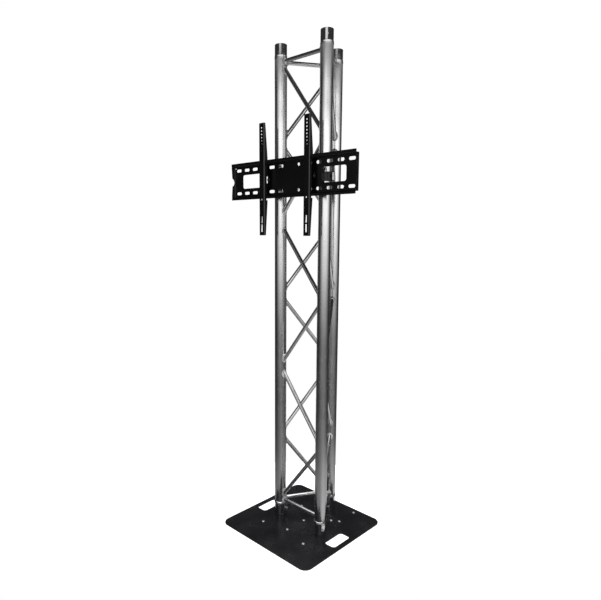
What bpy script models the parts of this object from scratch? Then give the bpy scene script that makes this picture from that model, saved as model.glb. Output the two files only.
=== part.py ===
"""Display totem: a triangular aluminium truss section standing on a steel base plate,
with a flat screen bracket clamped to its two front chords.

Metres, +Z up.  The screen side is -Y and the origin is the centre of the base plate's
underside.  "left" is -X, "right" is +X and "rear" is +Y.
"""
import math

import bmesh
import bpy
from mathutils import Matrix, Vector

GAP = 0.0003                    # gap left between pieces that touch

# Base plate
PLATE_SIDE = 0.500
PLATE_THICK = 0.006
PLATE_CORNER = 0.035
HANDLE_LENGTH = 0.110           # hand holes, along Y
HANDLE_WIDTH = 0.052
HANDLE_OFFSET = 0.203
HANDLE_CORNER = 0.014
FIXING_HOLE = 0.0060            # radius of the spare fixing holes
SMALL_HOLE = 0.0035
CUT_PAST = 0.001                # how far a cutter runs past what it cuts
SPARE_HOLES = [(-0.1195, -0.1195), (0.1195, -0.1195), (0.1195, 0.1195), (0.0, -0.090),
               (0.0025, 0.014), (-0.089, 0.100), (0.089, 0.100), (0.120, 0.2235)]
SMALL_HOLES = [(0.0745, -0.104), (-0.107, -0.168), (-0.204, 0.1875)]

# Truss
TRUSS_LENGTH = 2.000
CHORD_SPACING = 0.239
CHORD_RADIUS = 0.025
CHORD_WALL = 0.002
CHORD_SIDES = 24
FRONT_CHORD_Y = -0.0123
END_NODE = 0.065                # from the truss end to the end struts' centre line
BRACE_RADIUS = 0.008
BRACE_WALL = 0.002
BRACE_SIDES = 10
BAYS = 6
# Diagonals whose ends stand off the even spacing, at the upper and the lower end
BRACE_SHIFTS = {"diagonal_front_2": (0.0, 0.007), "diagonal_front_3": (-0.011, -0.011)}

# Receivers, the machined sockets welded into the chord ends
RECEIVER_SIDES = 18
RECEIVER_RADIUS = 0.0244
RECEIVER_BARREL = 0.041
RECEIVER_COLLAR = 0.055         # end of the weld collar, from the truss end
COLLAR_RADIUS = 0.0262
SPIGOT_RADIUS = 0.0223
SPIGOT_END = 0.080
MOUTH_RADIUS = 0.0205
THROAT_RADIUS = 0.0170
CONE_LENGTH = 0.060
PIN_DEPTH = 0.021               # from the truss end to the cross pin's axis

# Half couplers, pins and clips at the foot
FLANGE_THICK = 0.006
FLANGE_RADIUS = 0.024
CONE_GAP = 0.0006
COUPLER_CONE = 0.052
BOLT_RADIUS = 0.0059
BOLT_HEAD = 0.0120
BOLT_LOW = 0.0004               # underside of the bolt head, above the floor
BOLT_NECK = 0.0050              # top of the head's cone
BOLT_REACH = 0.013              # thread into the half coupler
BOLT_SOCKET = (0.0046, 0.0040)  # radius over the corners, top of the socket
COUNTERSINK_PLAY = 0.0006
PIN_OUTER_RADIUS = 0.0050
PIN_INNER_RADIUS = 0.0044
PIN_OUTER_END = 0.0268          # from the chord's axis, outwards
PIN_INNER_END = 0.0355          # from the chord's axis, inwards
PIN_BORE = 0.0056
CLIP_WIRE = 0.0010
CLIP_OFFSET = 0.0310            # clip's leg, from the chord's axis
CLIP_WIDTH = 0.0062             # between the clip's two legs
CLIP_BOW = 0.017                # height of the bow above the pin's axis
CLIP_PLAY = 0.0005

# Wall plate of the screen bracket
BRACKET_Z = 1.486
SHEET_FRONT_Y = -0.0824
SHEET_THICK = 0.002
SHEET_HALF_WIDTH = 0.330
LIP_FRONT_Y = -0.100
LIP_HALF_HEIGHT = 0.0755
SHELF_HALF_HEIGHT = 0.0655
ROW_OFFSET = 0.0475
SLOT_PITCH = 0.050
SLOT_LENGTH = 0.030
SLOT_WIDTH = 0.012
ROUND_HOLE = (0.0455, 0.0062)     # stands in for the first slot on the right: x, radius
WINDOW_INNER = 0.162
WINDOW_OUTER = 0.275
WINDOW_HEIGHT = 0.056
WINDOW_CORNER = 0.009
VERTICAL_SLOT_X = 0.1287
VERTICAL_SLOT = (0.007, 0.028)
CORNER_HOLE = (0.3215, 0.057)
CORNER_HOLE_RADIUS = 0.0028
BOLT_HOLE = 0.0043
SCOOP_RADIUS = 0.0185           # scoop in the middle of each end flange
SCOOP_SET_BACK = 0.0042
SCOOP_ANGLE = 66.0
SCOOP_HALF = 0.021

# Screen arms
ARM_FRONT_Y = -0.113
ARM_X = (-0.1285, 0.1130)
ARM_WIDTH = 0.030
ARM_SHEET = 0.002
ARM_TOP = 0.2175                # from the wall plate's middle
ARM_BOTTOM = -0.2225
ARM_TOP_DEPTH = 0.0080
ARM_RAIL_DEPTH = 0.0195
ARM_BOTTOM_DEPTH = 0.0090
ARM_HOLE_RADIUS = 0.0031
ARM_FIRST_HOLE = 0.0185         # below the arm's top
ARM_HOLE_PITCH = 0.0125
ARM_HOLES = 8
ARM_SLOT_WIDTH = 0.0075
ARM_SLOTS = ((-0.1590, 0.0285), (-0.1937, 0.0315))      # centre, length
LOCK_HOLE = (-0.0790, 0.0030)                           # centre, radius

# Half-coupler clamps that hold the wall plate to the chords
CLAMP_HEIGHT = 0.035
CLAMP_INNER = 0.0254
CLAMP_OUTER = 0.0320
CLAMP_HINGE = 0.0385
KNUCKLE_RADIUS = 0.0062
KNUCKLE_HALF = 0.0060
KNUCKLE_WEB = (0.0285, 0.0030)  # where the web starts, outwards and in depth
RIVET_RADIUS = 0.0034
RIVET_PROUD = 0.0012
RIVET_PLAY = 0.0004
CLAMP_BASE = 0.052
CLAMP_BASE_HALF = 0.016
CLAMP_BASE_BACK = 0.0275
BOSS_RADIUS = 0.0075
THREAD_RADIUS = 0.0042
THREAD_END = 0.034
EYE_RADIUS = 0.0070
EYE_HALF = 0.0055
EYE_BOLT_RADIUS = 0.0049
EYE_BOLT_LENGTH = 0.0400
EAR_INNER = 0.0270
EAR_OUTER = 0.0480
EAR_FRONT = 0.0072
EAR_BACK = 0.0130
EAR_EDGE = 0.004                # ear's edge, in from the clamp's face
NOTCH_HALF = 0.0056
NOTCH_START = 0.0332
NUT_BORE = 0.00505
NUT_FOOT = 0.0092
NUT_NECK = 0.0072
NUT_TOP = 0.0250
WING_HALF_THICK = 0.0016

# Button-headed bolts between the wall plate and the clamps
BUTTON_RADIUS = 0.0070
BUTTON_HEIGHT = 0.0040
BUTTON_TOP = 0.0040             # radius of the head's flat top
BUTTON_SOCKET = (0.0025, 0.0015)                        # radius, floor below the seat
FIXING_RADIUS = 0.0039
FIXING_LENGTH = 0.030

# Derived places
TRUSS_BOTTOM = PLATE_THICK + GAP + FLANGE_THICK + GAP
TRUSS_TOP = TRUSS_BOTTOM + TRUSS_LENGTH
NODE_LOW = TRUSS_BOTTOM + END_NODE
NODE_HIGH = TRUSS_TOP - END_NODE
REAR_CHORD_Y = FRONT_CHORD_Y + CHORD_SPACING * math.sqrt(3.0) / 2.0
CHORDS = {"left": Vector((-CHORD_SPACING / 2.0, FRONT_CHORD_Y, 0.0)),
          "right": Vector((CHORD_SPACING / 2.0, FRONT_CHORD_Y, 0.0)),
          "rear": Vector((0.0, REAR_CHORD_Y, 0.0))}
FACES = {"front": ("left", "right"), "right": ("right", "rear"), "left": ("rear", "left")}
CENTRE = (CHORDS["left"] + CHORDS["right"] + CHORDS["rear"]) / 3.0


# ---------------------------------------------------------------- materials

def make_material(name, colour, roughness, metallic):
    material = bpy.data.materials.new(name)
    material.use_nodes = True
    shader = material.node_tree.nodes["Principled BSDF"]
    shader.inputs["Base Color"].default_value = (*colour, 1.0)
    shader.inputs["Roughness"].default_value = roughness
    shader.inputs["Metallic"].default_value = metallic
    return material


def make_materials():
    return {"aluminium": make_material("aluminium", (0.72, 0.72, 0.73), 0.25, 1.0),
            "machined": make_material("machined_aluminium", (0.80, 0.80, 0.81), 0.15, 1.0),
            "zinc": make_material("zinc_plated_steel", (0.62, 0.63, 0.64), 0.30, 1.0),
            "plate": make_material("black_plate_coating", (0.020, 0.020, 0.024), 0.45, 0.0),
            "bracket": make_material("black_bracket_coating", (0.008, 0.008, 0.008), 0.40, 0.0),
            "clamp": make_material("black_clamp_coating", (0.012, 0.012, 0.013), 0.30, 0.0)}


# ------------------------------------------------------------ shape helpers

def add_object(name, mesh, material, location=(0.0, 0.0, 0.0), angle=0.0):
    """A named object, turned about Z by angle and moved to location."""
    item = bpy.data.objects.new(name, mesh)
    bpy.context.scene.collection.objects.link(item)
    item.location = location
    item.rotation_euler = (0.0, 0.0, angle)
    if material is not None:
        mesh.materials.clear()
        mesh.materials.append(material)
    return item


def mesh_from_bmesh(name, shape):
    bmesh.ops.recalc_face_normals(shape, faces=shape.faces)
    mesh = bpy.data.meshes.new(name)
    shape.to_mesh(mesh)
    shape.free()
    return mesh


def arc(centre, radius, start, end, steps):
    """Points on an arc from start to end, in degrees."""
    points = []
    for step in range(steps + 1):
        angle = math.radians(start + (end - start) * step / steps)
        points.append((centre[0] + radius * math.cos(angle), centre[1] + radius * math.sin(angle)))
    return points


def rounded_rectangle(width, height, radius, steps, centre=(0.0, 0.0)):
    half_w = width / 2.0 - radius
    half_h = height / 2.0 - radius
    points = []
    for index, (sx, sy) in enumerate(((1, 1), (-1, 1), (-1, -1), (1, -1))):
        corner = (centre[0] + sx * half_w, centre[1] + sy * half_h)
        points += arc(corner, radius, 90.0 * index, 90.0 * index + 90.0, steps)
    return points


def slot_outline(length, width, steps, centre=(0.0, 0.0)):
    """A slot with round ends, its length along the first axis."""
    reach = (length - width) / 2.0
    points = arc((centre[0] + reach, centre[1]), width / 2.0, -90.0, 90.0, steps)
    points += arc((centre[0] - reach, centre[1]), width / 2.0, 90.0, 270.0, steps)
    return points


def upright_slot(width, height, steps, centre=(0.0, 0.0)):
    return [(centre[0] + v, centre[1] + u) for u, v in slot_outline(height, width, steps)][::-1]


def circle(radius, sides, centre=(0.0, 0.0)):
    return arc(centre, radius, 0.0, 360.0 - 360.0 / sides, sides - 1)


def prism(name, outline, axis, low, high):
    """An outline pushed along an axis; it is drawn in the other two axes, in x, y, z order."""
    shape = bmesh.new()
    rings = []
    for value in (low, high):
        ring = []
        for u, v in outline:
            place = {"x": (value, u, v), "y": (u, value, v), "z": (u, v, value)}[axis]
            ring.append(shape.verts.new(place))
        rings.append(ring)
    count = len(outline)
    shape.faces.new(rings[0])
    shape.faces.new(rings[1])
    for index in range(count):
        after = (index + 1) % count
        shape.faces.new((rings[0][index], rings[0][after], rings[1][after], rings[1][index]))
    return mesh_from_bmesh(name, shape)


def box(name, low, high):
    outline = [(low[0], low[1]), (high[0], low[1]), (high[0], high[1]), (low[0], high[1])]
    return prism(name, outline, "z", low[2], high[2])


def turned(name, profile, sides, hollow):
    """A profile of (radius, height) turned about Z; a hollow one is a closed loop."""
    shape = bmesh.new()
    rings = []
    for radius, height in profile:
        if radius == 0.0:
            rings.append([shape.verts.new((0.0, 0.0, height))])
            continue
        ring = []
        for index in range(sides):
            angle = 2.0 * math.pi * index / sides
            ring.append(shape.verts.new((radius * math.cos(angle), radius * math.sin(angle), height)))
        rings.append(ring)
    pairs = list(zip(rings, rings[1:]))
    if hollow:
        pairs.append((rings[-1], rings[0]))
    for lower, upper in pairs:
        for index in range(sides):
            after = (index + 1) % sides
            if len(lower) == 1:
                shape.faces.new((lower[0], upper[index], upper[after]))
            elif len(upper) == 1:
                shape.faces.new((lower[index], upper[0], lower[after]))
            else:
                shape.faces.new((lower[index], lower[after], upper[after], upper[index]))
    return mesh_from_bmesh(name, shape)


def rod(name, start, end, start_radius, end_radius, sides):
    """A straight round bar between two points."""
    start = Vector(start)
    way = Vector(end) - start
    profile = [(0.0, 0.0), (start_radius, 0.0), (end_radius, way.length), (0.0, way.length)]
    mesh = turned(name, profile, sides, False)
    mesh.transform(Matrix.Translation(start) @ way.to_track_quat("Z", "Y").to_matrix().to_4x4())
    return mesh


def combine(mesh, others, operation):
    """Mesh after joining (UNION) or cutting (DIFFERENCE) it with each of the others."""
    target = add_object("work", mesh, None)
    helpers = []
    for other in others:
        helper = add_object("helper", other, None)
        helper.display_type = "WIRE"
        helper.hide_render = True
        modifier = target.modifiers.new("combine", "BOOLEAN")
        modifier.operation = operation
        modifier.solver = "EXACT"
        modifier.object = helper
        helpers.append(helper)
    graph = bpy.context.evaluated_depsgraph_get()
    result = bpy.data.meshes.new_from_object(target.evaluated_get(graph))
    result.name = mesh.name
    for helper in helpers + [target]:
        bpy.data.objects.remove(helper, do_unlink=True)
    return result


def smooth_round_faces(mesh):
    mesh.shade_smooth()
    mesh.set_sharp_from_angle(angle=math.radians(35.0))


def outward_angle(place):
    """Direction from the truss's centre line out through a chord."""
    way = CHORDS[place] - CENTRE
    return math.atan2(way.y, way.x)


# --------------------------------------------------------------- base plate

def countersink():
    """Cutter for a countersunk bolt hole, open at the underside."""
    head = BOLT_HEAD + COUNTERSINK_PLAY
    shank = BOLT_RADIUS + COUNTERSINK_PLAY
    top = PLATE_THICK + CUT_PAST
    profile = [(0.0, -CUT_PAST), (head, -CUT_PAST), (head, BOLT_LOW),
               (shank, PLATE_THICK - COUNTERSINK_PLAY), (shank, top), (0.0, top)]
    return turned("countersink", profile, 16, False)


def build_base_plate(materials):
    outline = rounded_rectangle(PLATE_SIDE, PLATE_SIDE, PLATE_CORNER, 6)
    plate = prism("base_plate", outline, "z", 0.0, PLATE_THICK)
    low = -CUT_PAST
    high = PLATE_THICK + CUT_PAST
    cutters = []
    for side in (-1, 1):
        hole = rounded_rectangle(HANDLE_WIDTH, HANDLE_LENGTH, HANDLE_CORNER, 4, (side * HANDLE_OFFSET, 0.0))
        cutters.append(prism("hand_hole", hole, "z", low, high))
    for place in SPARE_HOLES:
        cutters.append(prism("fixing_hole", circle(FIXING_HOLE, 12, place), "z", low, high))
    for place in SMALL_HOLES:
        cutters.append(prism("small_hole", circle(SMALL_HOLE, 8, place), "z", low, high))
    for chord in CHORDS.values():
        cutter = countersink()
        cutter.transform(Matrix.Translation((chord.x, chord.y, 0.0)))
        cutters.append(cutter)
    add_object("base_plate", combine(plate, cutters, "DIFFERENCE"), materials["plate"])


# ------------------------------------------- half couplers, pins and clips

def cone_radius(depth):
    """Radius of a receiver's bore at a depth from the truss end."""
    return MOUTH_RADIUS + (THROAT_RADIUS - MOUTH_RADIUS) * depth / CONE_LENGTH


def build_base_coupler(place, materials):
    base = PLATE_THICK + GAP
    stud_low = base + FLANGE_THICK
    stud_high = stud_low + COUPLER_CONE
    drill = BOLT_RADIUS + 0.0004
    drill_end = stud_low + BOLT_REACH + 0.0015
    tip = cone_radius(COUPLER_CONE) - CONE_GAP
    profile = [(0.0, drill_end), (drill, drill_end), (drill, base), (FLANGE_RADIUS, base),
               (FLANGE_RADIUS, stud_low), (cone_radius(0.0) - CONE_GAP, stud_low),
               (tip, stud_high - 0.002), (tip - 0.002, stud_high), (0.0, stud_high)]
    body = turned("base_coupler", profile, RECEIVER_SIDES, False)
    height = TRUSS_BOTTOM + PIN_DEPTH
    bore = rod("bore", (-0.03, 0.0, height), (0.03, 0.0, height), PIN_BORE, PIN_BORE, 8)
    coupler = combine(body, [bore], "DIFFERENCE")
    smooth_round_faces(coupler)
    chord = CHORDS[place]
    add_object("base_coupler_" + place, coupler, materials["machined"],
               (chord.x, chord.y, 0.0), outward_angle(place))


def build_base_bolt(place, materials):
    top = PLATE_THICK + FLANGE_THICK + BOLT_REACH
    profile = [(0.0, BOLT_LOW), (BOLT_HEAD, BOLT_LOW), (BOLT_HEAD, BOLT_LOW + 0.0001),
               (BOLT_RADIUS, BOLT_NECK), (BOLT_RADIUS, top - 0.001), (BOLT_RADIUS - 0.001, top),
               (0.0, top)]
    body = turned("base_bolt", profile, 12, False)
    radius, socket_top = BOLT_SOCKET
    socket = prism("socket", circle(radius, 6), "z", -CUT_PAST, socket_top)
    bolt = combine(body, [socket], "DIFFERENCE")
    chord = CHORDS[place]
    add_object("base_bolt_" + place, bolt, materials["zinc"], (chord.x, chord.y, 0.0))


def build_coupler_pin(place, materials):
    pin = rod("coupler_pin", (-PIN_INNER_END, 0.0, 0.0), (PIN_OUTER_END, 0.0, 0.0),
              PIN_INNER_RADIUS, PIN_OUTER_RADIUS, 12)
    hole = rod("clip_hole", (-CLIP_OFFSET, 0.0, -0.01), (-CLIP_OFFSET, 0.0, 0.01),
               CLIP_WIRE + CLIP_PLAY, CLIP_WIRE + CLIP_PLAY, 8)
    pin = combine(pin, [hole], "DIFFERENCE")
    smooth_round_faces(pin)
    chord = CHORDS[place]
    add_object("coupler_pin_" + place, pin, materials["zinc"],
               (chord.x, chord.y, TRUSS_BOTTOM + PIN_DEPTH), outward_angle(place))


def clip_route():
    """Centre line of a spring clip: a straight leg, a round bow and a second leg."""
    bow = CLIP_WIDTH / 2.0
    points = [(0.0, -0.0125), (0.0, 0.0)]
    points += [(bow + u, CLIP_BOW + v) for u, v in arc((0.0, 0.0), bow, 180.0, 0.0, 6)]
    points += [(CLIP_WIDTH, 0.004), (CLIP_WIDTH, -0.004), (CLIP_WIDTH + 0.0015, -0.009)]
    return points


def build_clip(place, materials):
    curve = bpy.data.curves.new("r_clip", "CURVE")
    curve.dimensions = "3D"
    curve.bevel_depth = CLIP_WIRE
    curve.bevel_resolution = 1
    curve.use_fill_caps = True
    route = clip_route()
    spline = curve.splines.new("POLY")
    spline.points.add(len(route) - 1)
    for point, (across, up) in zip(spline.points, route):
        point.co = (0.0, across, up, 1.0)
    curve.materials.append(materials["zinc"])
    clip = bpy.data.objects.new("r_clip_" + place, curve)
    bpy.context.scene.collection.objects.link(clip)
    angle = outward_angle(place)
    chord = CHORDS[place]
    inward = Vector((-math.cos(angle), -math.sin(angle), 0.0)) * CLIP_OFFSET
    clip.location = chord + inward + Vector((0.0, 0.0, TRUSS_BOTTOM + PIN_DEPTH))
    clip.rotation_euler = (0.0, 0.0, angle)


# -------------------------------------------------------------------- truss

def build_chord(place, materials):
    low = TRUSS_BOTTOM + RECEIVER_COLLAR + GAP
    high = TRUSS_TOP - RECEIVER_COLLAR - GAP
    inner = CHORD_RADIUS - CHORD_WALL
    profile = [(inner, low), (CHORD_RADIUS, low), (CHORD_RADIUS, high), (inner, high)]
    mesh = turned("chord", profile, CHORD_SIDES, True)
    smooth_round_faces(mesh)
    add_object("chord_" + place, mesh, materials["aluminium"], CHORDS[place])


def receiver_mesh():
    """A receiver with its mouth at height 0 and its spigot below."""
    profile = [(MOUTH_RADIUS, 0.0), (RECEIVER_RADIUS - 0.0008, 0.0), (RECEIVER_RADIUS, -0.0008),
               (RECEIVER_RADIUS, -RECEIVER_BARREL), (COLLAR_RADIUS, -RECEIVER_BARREL - 0.0025),
               (COLLAR_RADIUS, -RECEIVER_COLLAR + 0.0025), (CHORD_RADIUS, -RECEIVER_COLLAR),
               (SPIGOT_RADIUS, -RECEIVER_COLLAR), (SPIGOT_RADIUS, -SPIGOT_END),
               (THROAT_RADIUS, -SPIGOT_END), (THROAT_RADIUS, -CONE_LENGTH)]
    body = turned("receiver", profile, RECEIVER_SIDES, True)
    bore = rod("bore", (-0.04, 0.0, -PIN_DEPTH), (0.04, 0.0, -PIN_DEPTH), PIN_BORE, PIN_BORE, 8)
    receiver = combine(body, [bore], "DIFFERENCE")
    smooth_round_faces(receiver)
    return receiver


def build_receivers(place, materials):
    chord = CHORDS[place]
    angle = outward_angle(place)
    add_object("upper_receiver_" + place, receiver_mesh(), materials["machined"],
               (chord.x, chord.y, TRUSS_TOP), angle)
    lower = receiver_mesh()
    lower.transform(Matrix.Rotation(math.pi, 4, "X"))
    add_object("lower_receiver_" + place, lower, materials["machined"],
               (chord.x, chord.y, TRUSS_BOTTOM), angle)


def reach_to_chord(point, way, chord):
    """Distance from a point along way to the surface of a chord, less the gap."""
    flat = Vector((way.x, way.y))
    offset = Vector((point.x - chord.x, point.y - chord.y))
    radius = CHORD_RADIUS + GAP
    a = flat.dot(flat)
    b = 2.0 * flat.dot(offset)
    c = offset.dot(offset) - radius * radius
    return (-b - math.sqrt(b * b - 4.0 * a * c)) / (2.0 * a)


def build_brace(name, start_chord, start_z, end_chord, end_z, materials):
    """A tube between two chords, its ends shaped to sit on their surfaces."""
    start = CHORDS[start_chord] + Vector((0.0, 0.0, start_z))
    end = CHORDS[end_chord] + Vector((0.0, 0.0, end_z))
    middle = (start + end) / 2.0
    way = (end - start).normalized()
    turn = way.to_track_quat("Z", "Y").to_matrix()
    shape = bmesh.new()
    rings = []
    for radius, sign in ((BRACE_RADIUS, -1), (BRACE_RADIUS, 1),
                         (BRACE_RADIUS - BRACE_WALL, 1), (BRACE_RADIUS - BRACE_WALL, -1)):
        chord = CHORDS[start_chord] if sign < 0 else CHORDS[end_chord]
        ring = []
        for index in range(BRACE_SIDES):
            angle = 2.0 * math.pi * index / BRACE_SIDES
            offset = turn @ Vector((radius * math.cos(angle), radius * math.sin(angle), 0.0))
            reach = reach_to_chord(middle + offset, way * sign, chord)
            ring.append(shape.verts.new(offset + way * sign * reach))
        rings.append(ring)
    for index, ring in enumerate(rings):
        other = rings[(index + 1) % 4]
        for corner in range(BRACE_SIDES):
            after = (corner + 1) % BRACE_SIDES
            shape.faces.new((ring[corner], ring[after], other[after], other[corner]))
    mesh = mesh_from_bmesh("brace", shape)
    smooth_round_faces(mesh)
    add_object(name, mesh, materials["aluminium"], middle)


def build_braces(materials):
    """End struts, and in each face a zigzag that starts and ends on the face's first chord."""
    bay = (NODE_HIGH - NODE_LOW) / BAYS
    for face, (first, second) in FACES.items():
        build_brace("upper_strut_" + face, first, NODE_HIGH, second, NODE_HIGH, materials)
        build_brace("lower_strut_" + face, first, NODE_LOW, second, NODE_LOW, materials)
        for index in range(BAYS):
            chords = (first, second) if index % 2 == 0 else (second, first)
            top = NODE_HIGH - index * bay
            name = "diagonal_%s_%d" % (face, index + 1)
            upper, lower = BRACE_SHIFTS.get(name, (0.0, 0.0))
            build_brace(name, chords[0], top + upper, chords[1], top - bay + lower, materials)


# --------------------------------------------------------------- wall plate

def wall_plate_section():
    """Section in Y and Z: a sheet, a shelf at each edge and a lip beyond each shelf."""
    back = SHEET_FRONT_Y + SHEET_THICK
    front = SHEET_FRONT_Y
    lip_back = LIP_FRONT_Y + SHEET_THICK
    shelf = SHELF_HALF_HEIGHT
    under = SHELF_HALF_HEIGHT - SHEET_THICK
    upper = [(back, shelf), (lip_back, shelf), (lip_back, LIP_HALF_HEIGHT),
             (LIP_FRONT_Y, LIP_HALF_HEIGHT), (LIP_FRONT_Y, under), (front, under)]
    lower = [(y, -z) for y, z in reversed(upper)]
    return upper + lower


def end_flange(side):
    """Flange folded forward at an end of the sheet, scooped out at mid height."""
    reach = SHELF_HALF_HEIGHT - 0.001
    front = LIP_FRONT_Y + 0.0005
    scoop = arc((LIP_FRONT_Y - SCOOP_SET_BACK, 0.0), SCOOP_RADIUS, SCOOP_ANGLE, -SCOOP_ANGLE, 8)
    outline = [(SHEET_FRONT_Y + 0.001, -reach), (SHEET_FRONT_Y + 0.001, reach), (front, reach)]
    outline += [(front, SCOOP_HALF)] + scoop + [(front, -SCOOP_HALF), (front, -reach)]
    outer = side * SHEET_HALF_WIDTH
    inner = side * (SHEET_HALF_WIDTH - SHEET_THICK)
    return prism("end_flange", outline, "x", min(outer, inner), max(outer, inner))


def build_wall_plate(materials):
    section = wall_plate_section()
    reach = SHEET_HALF_WIDTH - 0.0002
    plate = prism("wall_plate", section, "x", -reach, reach)
    plate = combine(plate, [end_flange(-1), end_flange(1)], "UNION")
    back = SHEET_FRONT_Y + SHEET_THICK + CUT_PAST
    front = SHEET_FRONT_Y - CUT_PAST
    cutters = []
    for row in (-ROW_OFFSET, ROW_OFFSET):
        cutters.append(prism("round_hole", circle(ROUND_HOLE[1], 12, (ROUND_HOLE[0], row)), "y", front, back))
        for column in (-6, -5, -4, -3, -2, -1, 2, 3, 4, 5, 6):
            outline = slot_outline(SLOT_LENGTH, SLOT_WIDTH, 3, (column * SLOT_PITCH, row))
            cutters.append(prism("slot", outline, "y", front, back))
    middle = (WINDOW_INNER + WINDOW_OUTER) / 2.0
    width = WINDOW_OUTER - WINDOW_INNER
    for side in (-1, 1):
        outline = rounded_rectangle(width, WINDOW_HEIGHT, WINDOW_CORNER, 3, (side * middle, 0.0))
        cutters.append(prism("window", outline, "y", front, back))
        outline = upright_slot(VERTICAL_SLOT[0], VERTICAL_SLOT[1], 3, (side * VERTICAL_SLOT_X, 0.0))
        cutters.append(prism("upright_slot", outline, "y", front, back))
        outline = circle(BOLT_HOLE, 10, (side * CHORD_SPACING / 2.0, 0.0))
        cutters.append(prism("bolt_hole", outline, "y", front, back))
        outline = circle(CORNER_HOLE_RADIUS, 8, (side * CORNER_HOLE[0], CORNER_HOLE[1]))
        cutters.append(prism("corner_hole", outline, "y", front, back))
    plate = combine(plate, cutters, "DIFFERENCE")
    add_object("wall_plate", plate, materials["bracket"], (0.0, 0.0, BRACKET_Z))


# -------------------------------------------------------------- screen arms

def arm_side_outline():
    """Side flange in depth and height: deep at the rails, hooked over the upper lip."""
    lip_front = LIP_FRONT_Y - ARM_FRONT_Y - 0.0005
    lip_back = LIP_FRONT_Y + SHEET_THICK - ARM_FRONT_Y + 0.0004
    throat = LIP_HALF_HEIGHT + GAP
    tooth_low = SHELF_HALF_HEIGHT + 0.003
    shoulder = -LIP_HALF_HEIGHT - 0.0065
    return [(0.0, ARM_TOP), (ARM_TOP_DEPTH, ARM_TOP), (ARM_RAIL_DEPTH - 0.001, throat + 0.022),
            (ARM_RAIL_DEPTH, throat + 0.012), (ARM_RAIL_DEPTH, tooth_low), (lip_back, tooth_low),
            (lip_back, throat), (lip_front, throat), (lip_front, shoulder), (ARM_RAIL_DEPTH, shoulder),
            (ARM_BOTTOM_DEPTH, ARM_BOTTOM), (0.0, ARM_BOTTOM)]


def arm_mesh():
    """An arm whose front face is at y = 0, with the wall plate's middle at z = 0."""
    half = ARM_WIDTH / 2.0
    face = box("tv_arm", (-half + 0.0002, 0.0, ARM_BOTTOM + 0.0002),
               (half - 0.0002, ARM_SHEET, ARM_TOP - 0.0002))
    flanges = []
    for side in (-1, 1):
        outer = side * half
        inner = side * (half - ARM_SHEET)
        flanges.append(prism("flange", arm_side_outline(), "x", min(outer, inner), max(outer, inner)))
    arm = combine(face, flanges, "UNION")
    openings = []
    for index in range(ARM_HOLES):
        height = ARM_TOP - ARM_FIRST_HOLE - index * ARM_HOLE_PITCH
        openings.append(circle(ARM_HOLE_RADIUS, 8, (0.0, height)))
    for centre, length in ARM_SLOTS:
        openings.append(upright_slot(ARM_SLOT_WIDTH, length, 3, (0.0, centre)))
    openings.append(circle(LOCK_HOLE[1], 8, (0.0, LOCK_HOLE[0])))
    cutters = [prism("opening", outline, "y", -CUT_PAST, ARM_SHEET + CUT_PAST) for outline in openings]
    return combine(arm, cutters, "DIFFERENCE")


def build_arms(materials):
    for name, place in zip(("tv_arm_left", "tv_arm_right"), ARM_X):
        add_object(name, arm_mesh(), materials["bracket"], (place, ARM_FRONT_Y, BRACKET_Z))


# ------------------------------------------------------------------- clamps

def ring_sector(name, start, end):
    """Part of the clamp's ring round the chord, as a prism along Z."""
    outline = arc((0.0, 0.0), CLAMP_OUTER, start, end, 9)
    outline += arc((0.0, 0.0), CLAMP_INNER, end, start, 9)
    return prism(name, outline, "z", -CLAMP_HEIGHT / 2.0, CLAMP_HEIGHT / 2.0)


def knuckle(side, direction, low, high):
    """A hinge knuckle with the web that joins it to the ring's end."""
    centre = (side * CLAMP_HINGE, 0.0)
    barrel = prism("knuckle", circle(KNUCKLE_RADIUS, 12, centre), "z", low, high)
    inner = side * KNUCKLE_WEB[0]
    outer = side * CLAMP_HINGE
    near = direction * KNUCKLE_WEB[1]
    far = direction * (KNUCKLE_RADIUS - 0.0002)
    web = box("web", (min(inner, outer), min(near, far), low + 0.0001),
              (max(inner, outer), max(near, far), high - 0.0001))
    return [barrel, web]


def build_saddle(place, side, materials):
    """Front half of a clamp, with its foot, its boss and the rivets of both hinges."""
    half = CLAMP_HEIGHT / 2.0
    ring = ring_sector("clamp_saddle", 186.0, 354.0)
    foot = box("foot", (-CLAMP_BASE_HALF, -CLAMP_BASE, -half + 0.0002),
               (CLAMP_BASE_HALF, -CLAMP_BASE_BACK, half - 0.0002))
    boss_end = SHEET_FRONT_Y + SHEET_THICK + GAP - FRONT_CHORD_Y
    boss = rod("boss", (0.0, -CLAMP_BASE + 0.002, 0.0), (0.0, boss_end, 0.0),
               BOSS_RADIUS, BOSS_RADIUS, 12)
    joined = [foot, boss]
    for hinge in (-1, 1):
        joined += knuckle(hinge, -1, KNUCKLE_HALF, half - 0.0004)
        joined += knuckle(hinge, -1, -half + 0.0004, -KNUCKLE_HALF)
        centre = (hinge * CLAMP_HINGE, 0.0)
        end = half + RIVET_PROUD
        joined.append(prism("rivet", circle(RIVET_RADIUS, 10, centre), "z", -end, end))
    saddle = combine(ring, joined, "UNION")
    thread = rod("thread", (0.0, -THREAD_END, 0.0), (0.0, -0.080, 0.0), THREAD_RADIUS, THREAD_RADIUS, 10)
    saddle = combine(saddle, [thread], "DIFFERENCE")
    add_object("clamp_saddle_" + place, saddle, materials["clamp"], clamp_centre(side))


def clamp_centre(side):
    return (side * CHORD_SPACING / 2.0, FRONT_CHORD_Y, BRACKET_Z)


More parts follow.
